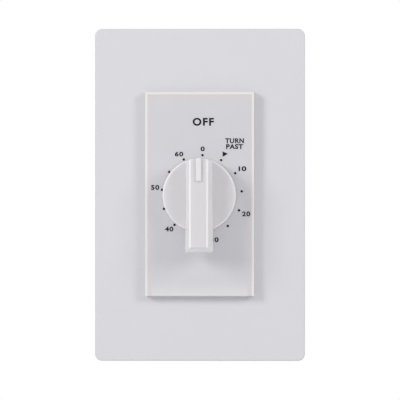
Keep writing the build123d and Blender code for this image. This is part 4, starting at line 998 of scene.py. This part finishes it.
class TIMER_OT_knob(bpy.types.Operator):
    """Models the hollow knob: skirt, drafted grip bar, pointer rib, hub and bore"""

    bl_idname = "timer.knob"
    bl_label = "Knob"

    def execute(self, context):
        sizes = context.scene.timer_sizes
        low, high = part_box("knob")
        skirt_front = high.y - sizes.skirt_height
        bar_front = skirt_front - sizes.bar_height
        foot = skirt_front + sizes.skirt_round
        slope = tan(sizes.bar_draft)
        foot_half = sizes.bar_width / 2 + (foot - bar_front) * slope

        knob = add_rod("knob_moulding", sizes.knob_radius, high.y, skirt_front, sides=160)
        round_edges(knob, at_front(skirt_front), sizes.skirt_round, steps=6)
        combine(knob, grip_bar(sizes, foot, bar_front, foot_half), "UNION")
        combine(knob, bar_tail(sizes, skirt_front, foot, foot_half), "UNION")
        fillet_bar_root(knob, sizes, skirt_front, foot_half - sizes.skirt_round * slope)
        combine(knob, pointer_rib(sizes, bar_front, low.y), "UNION")
        hollow_knob(knob, sizes, high.y, skirt_front)
        finish_piece(knob, SHAFT, "knob_plastic", "knob")
        return {"FINISHED"}


def grip_bar(sizes, foot, bar_front, foot_half):
    """The drafted bar over the skirt: a block whose face is drawn in, trimmed to the skirt's round."""
    top = sizes.knob_radius + sizes.bar_height
    bottom = -sizes.bar_length
    growth = foot_half - sizes.bar_width / 2
    bar = add_block("bar", (-foot_half, bar_front, bottom), (foot_half, foot, top))
    shares = (sizes.bar_width / (2 * foot_half), 1, (top - bottom - growth) / (top - bottom))
    draw_in_face(bar, shares, (0, bar_front, top))
    limit = add_rod("limit", sizes.knob_radius, foot + SPARE, bar_front - SPARE, sides=160)
    below = add_block(
        "below", (-2 * foot_half, bar_front - SPARE, 2 * bottom), (2 * foot_half, foot + SPARE, 0)
    )
    combine(limit, below, "UNION")
    combine(bar, limit, "INTERSECT")
    round_edges(
        bar,
        lambda a, b: max(a.z, b.z) < bottom + growth + NEAR and at_front(bar_front)(a, b),
        sizes.bar_round,
        steps=4,
    )
    soften(bar, sizes.bar_round, steps=4, angle=40)
    return bar


def bar_tail(sizes, skirt_front, foot, foot_half):
    """The straight foot of the bar below the skirt, which stands clear of the dial. It starts a
    little up the bar, drawn in as the bar is, so that the two run into each other."""
    front = foot - sizes.bar_round * TAIL_OVERLAP
    inset = (foot - front) * tan(sizes.bar_draft) - TAIL_PROUD
    tail = add_block(
        "tail", (-foot_half, front, -sizes.bar_length),
        (foot_half, skirt_front + sizes.tail_depth, 0),
    )
    shares = (1 - inset / foot_half, 1, 1 - inset / sizes.bar_length)
    draw_in_face(tail, shares, (0, front, 0))
    round_edges(
        tail,
        lambda a, b: along_axis(a, b) and max(a.z, b.z) < -sizes.bar_length + SPARE,
        sizes.bar_round,
        steps=4,
    )
    return tail


def fillet_bar_root(knob, sizes, skirt_front, root_half):
    """The small fillet where the bar rises from the skirt's face."""
    reach = sizes.knob_radius - sizes.skirt_round
    near = NEAR / 2

    def is_root(first, second):
        flat = max(abs(first.y - skirt_front), abs(second.y - skirt_front)) < near
        beside = max(abs(abs(first.x) - root_half), abs(abs(second.x) - root_half)) < near
        return flat and beside and max(hypot(p.x, p.z) for p in (first, second)) < reach + near

    round_edges(knob, is_root, sizes.bar_root, steps=4)


def pointer_rib(sizes, bar_front, rib_front):
    """The raised rib on the bar's face that points at the scale."""
    top = sizes.knob_radius + POINTER_OVERHANG
    half = sizes.pointer_width / 2
    rib = add_block(
        "rib", (-half, rib_front, top - sizes.pointer_length), (half, bar_front + SPARE, top)
    )
    round_edges(
        rib, lambda a, b: along_axis(a, b) or at_front(rib_front)(a, b), POINTER_ROUND, steps=3
    )
    return rib


def hollow_knob(knob, sizes, back, skirt_front):
    """Cuts the knob's hollow from behind, then adds the hub with its D-shaped bore."""
    roof = skirt_front + sizes.skirt_wall
    inner = sizes.knob_radius - sizes.skirt_wall
    combine(knob, add_rod("cavity", inner, back + SPARE, roof), "DIFFERENCE")
    combine(knob, add_rod("hub", sizes.hub_radius, HUB_BACK, roof - SPARE / 2), "UNION")
    bore = add_rod("bore", sizes.bore_radius, HUB_BACK + SPARE, BORE_FRONT)
    key = add_block(
        "key",
        (-2 * sizes.bore_radius, BORE_FRONT - SPARE, sizes.bore_radius - SHAFT_FLAT),
        (2 * sizes.bore_radius, HUB_BACK + 2 * SPARE, 2 * sizes.bore_radius),
    )
    combine(bore, key, "DIFFERENCE")
    combine(knob, bore, "DIFFERENCE")


class TIMER_OT_screws(bpy.types.Operator):
    """Models the two threaded box screws with their slotted, rounded heads"""

    bl_idname = "timer.screws"
    bl_label = "Box Screws"

    def execute(self, context):
        low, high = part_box("strap_screws")
        upper = box_screw(context.scene.timer_sizes, low.y, high.y)
        lower = upper.copy()
        lower.data = upper.data.copy()
        context.scene.collection.objects.link(lower)
        for screw, side in ((upper, 1), (lower, -1)):
            screw.location.z = side * BOX_SCREW_SPACING / 2
            settle(screw)
        select_only(upper, lower)
        bpy.ops.object.join()
        screws = bpy.context.object
        screws.name = "box_screws"
        finish_piece(screws, HOUSING, "zinc_steel", "strap_screws")
        return {"FINISHED"}


def box_screw(sizes, front, end):
    """One box screw on the axis: head, neck, and a shank with its thread wound round it."""
    core = THREAD_RADIUS - sizes.thread_depth
    screw = add_rod("screw", HEAD_RADIUS, front + HEAD_HEIGHT, front, sides=48)
    round_edges(screw, at_front(front), HEAD_HEIGHT / 2, steps=5)
    neck = add_rod("neck", NECK_RADIUS, SPARE, front + HEAD_HEIGHT / 2, sides=32)
    combine(screw, neck, "UNION")
    shank = add_rod("shank", core, end, 0, sides=32)
    round_edges(shank, at_back(end), core / 3, steps=1)
    combine(screw, shank, "UNION")
    combine(screw, wound_thread(sizes, core, end), "UNION")
    slot = add_block(
        "slot", (-2 * HEAD_RADIUS, front - SPARE, -DRIVE_WIDTH / 2),
        (2 * HEAD_RADIUS, front + DRIVE_DEPTH, DRIVE_WIDTH / 2),
    )
    combine(screw, slot, "DIFFERENCE")
    return screw


def wound_thread(sizes, core, end):
    """A ridge of triangular section screwed round the axis, its ends closed."""
    pitch = sizes.thread_pitch
    root = core - sizes.thread_depth / 3
    thread = add_object(
        "thread", bpy.ops.mesh.primitive_circle_add, vertices=3, radius=1, fill_type="NGON"
    )

    # A triangle in a circle of radius 1 is this high and wide
    high, wide = 1.5, 2 * cos(radians(30))
    across = (THREAD_RADIUS - root) / high
    along = pitch * THREAD_FOOT / wide
    thread.rotation_euler = (0, 0, -pi / 2)
    thread.scale = (along, across, 1)
    thread.location = (root + across / 2, pitch / 2, 0)
    settle(thread)
    apply_modifier(
        thread, "SCREW",
        axis="Y", steps=THREAD_STEPS, render_steps=THREAD_STEPS, screw_offset=pitch,
        iterations=int((end - THREAD_BARE * pitch) / pitch), use_smooth_shade=False,
    )
    open_all(thread)
    bpy.ops.mesh.remove_doubles(threshold=MERGE)
    bpy.ops.mesh.select_all(action="DESELECT")
    bpy.ops.mesh.select_non_manifold()
    bpy.ops.mesh.fill()
    bpy.ops.mesh.select_all(action="SELECT")
    bpy.ops.mesh.normals_make_consistent(inside=False)
    close()
    return thread


class TIMER_OT_mouldings(bpy.types.Operator):
    """Softens the sharp edges of the case, its lid and the strap"""

    bl_idname = "timer.mouldings"
    bl_label = "Case And Strap"

    def execute(self, context):
        edge = context.scene.timer_sizes.case_edge
        for node, width in (
            ("timer_case", edge), ("case_lid", edge / 2), ("mounting_strap", edge / 2)
        ):
            piece = merged_copy(node, node + "_softened")
            soften(piece, width, steps=2, angle=50)
            finish_piece(piece, HOUSING, slots[node], node)
        return {"FINISHED"}


class TIMER_OT_contact(bpy.types.Operator):
    """Parts the contact blade's nose from its leaf, because the cam presses only the nose flat"""

    bl_idname = "timer.contact"
    bl_label = "Contact Blade"

    def execute(self, context):
        leaf = trimmed_blade("blade_leaf", [(NOSE_HALF_HEIGHT, 1)])
        foot = trimmed_blade("blade_foot", [(-NOSE_HALF_HEIGHT, -1)])
        select_only(leaf, foot)
        bpy.ops.object.join()
        nose = trimmed_blade("blade_nose", [(NOSE_HALF_HEIGHT, -1), (-NOSE_HALF_HEIGHT, 1)])
        for piece in (leaf, nose):
            finish_piece(piece, HOUSING, "copper_alloy", "contact_blade")
        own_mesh(nose)
        return {"FINISHED"}


def trimmed_blade(name, cuts):
    """A copy of the blade cut at heights, keeping what is above (1) or below (-1) each."""
    piece = merged_copy("contact_blade", name)
    for height, side in cuts:
        trim(piece, (0, 0, height), (0, 0, -side))
    return piece


class TIMER_OT_finishes(bpy.types.Operator):
    """Gives every node that keeps its shape the finish of its slot"""

    bl_idname = "timer.finishes"
    bl_label = "Finishes"

    def execute(self, context):
        made = shared_finishes(context.scene)
        for name, node in frame["nodes"].items():
            node.data.materials.clear()
            node.data.materials.append(made[slots[name]])
        return {"FINISHED"}


class TIMER_PT_sidebar(bpy.types.Panel):
    bl_label = "Timer Switch"
    bl_idname = "TIMER_PT_sidebar"
    bl_space_type = "VIEW_3D"
    bl_region_type = "UI"
    bl_category = "Timer Switch"

    def draw(self, context):
        for operator in STEPS:
            self.layout.operator(operator.bl_idname)
        for group in (context.scene.timer_sizes, context.scene.timer_colours):
            box = self.layout.box()
            for name in group.bl_rna.properties.keys():
                if name not in ("rna_type", "name"):
                    box.prop(group, name)


STEPS = (
    TIMER_OT_stage,
    TIMER_OT_finishes,
    TIMER_OT_wall_plate,
    TIMER_OT_dial,
    TIMER_OT_scale,
    TIMER_OT_knob,
    TIMER_OT_screws,
    TIMER_OT_mouldings,
    TIMER_OT_contact,
)


CLASSES = (TimerSizes, TimerColours, *STEPS, TIMER_PT_sidebar)


def register():
    for item in CLASSES:
        bpy.utils.register_class(item)
    bpy.types.Scene.timer_sizes = bpy.props.PointerProperty(type=TimerSizes)
    bpy.types.Scene.timer_colours = bpy.props.PointerProperty(type=TimerColours)


def unregister():
    del bpy.types.Scene.timer_colours
    del bpy.types.Scene.timer_sizes
    for item in reversed(CLASSES):
        bpy.utils.unregister_class(item)


def main():
    """Runs every step in order."""
    register()
    bpy.context.scene.view_settings.view_transform = "Standard"
    bpy.ops.timer.stage()
    bpy.ops.timer.finishes()
    bpy.ops.timer.wall_plate()
    bpy.ops.timer.dial()
    bpy.ops.timer.scale()
    bpy.ops.timer.knob()
    bpy.ops.timer.screws()
    bpy.ops.timer.mouldings()
    bpy.ops.timer.contact()


if __name__ == "__main__":
    main()
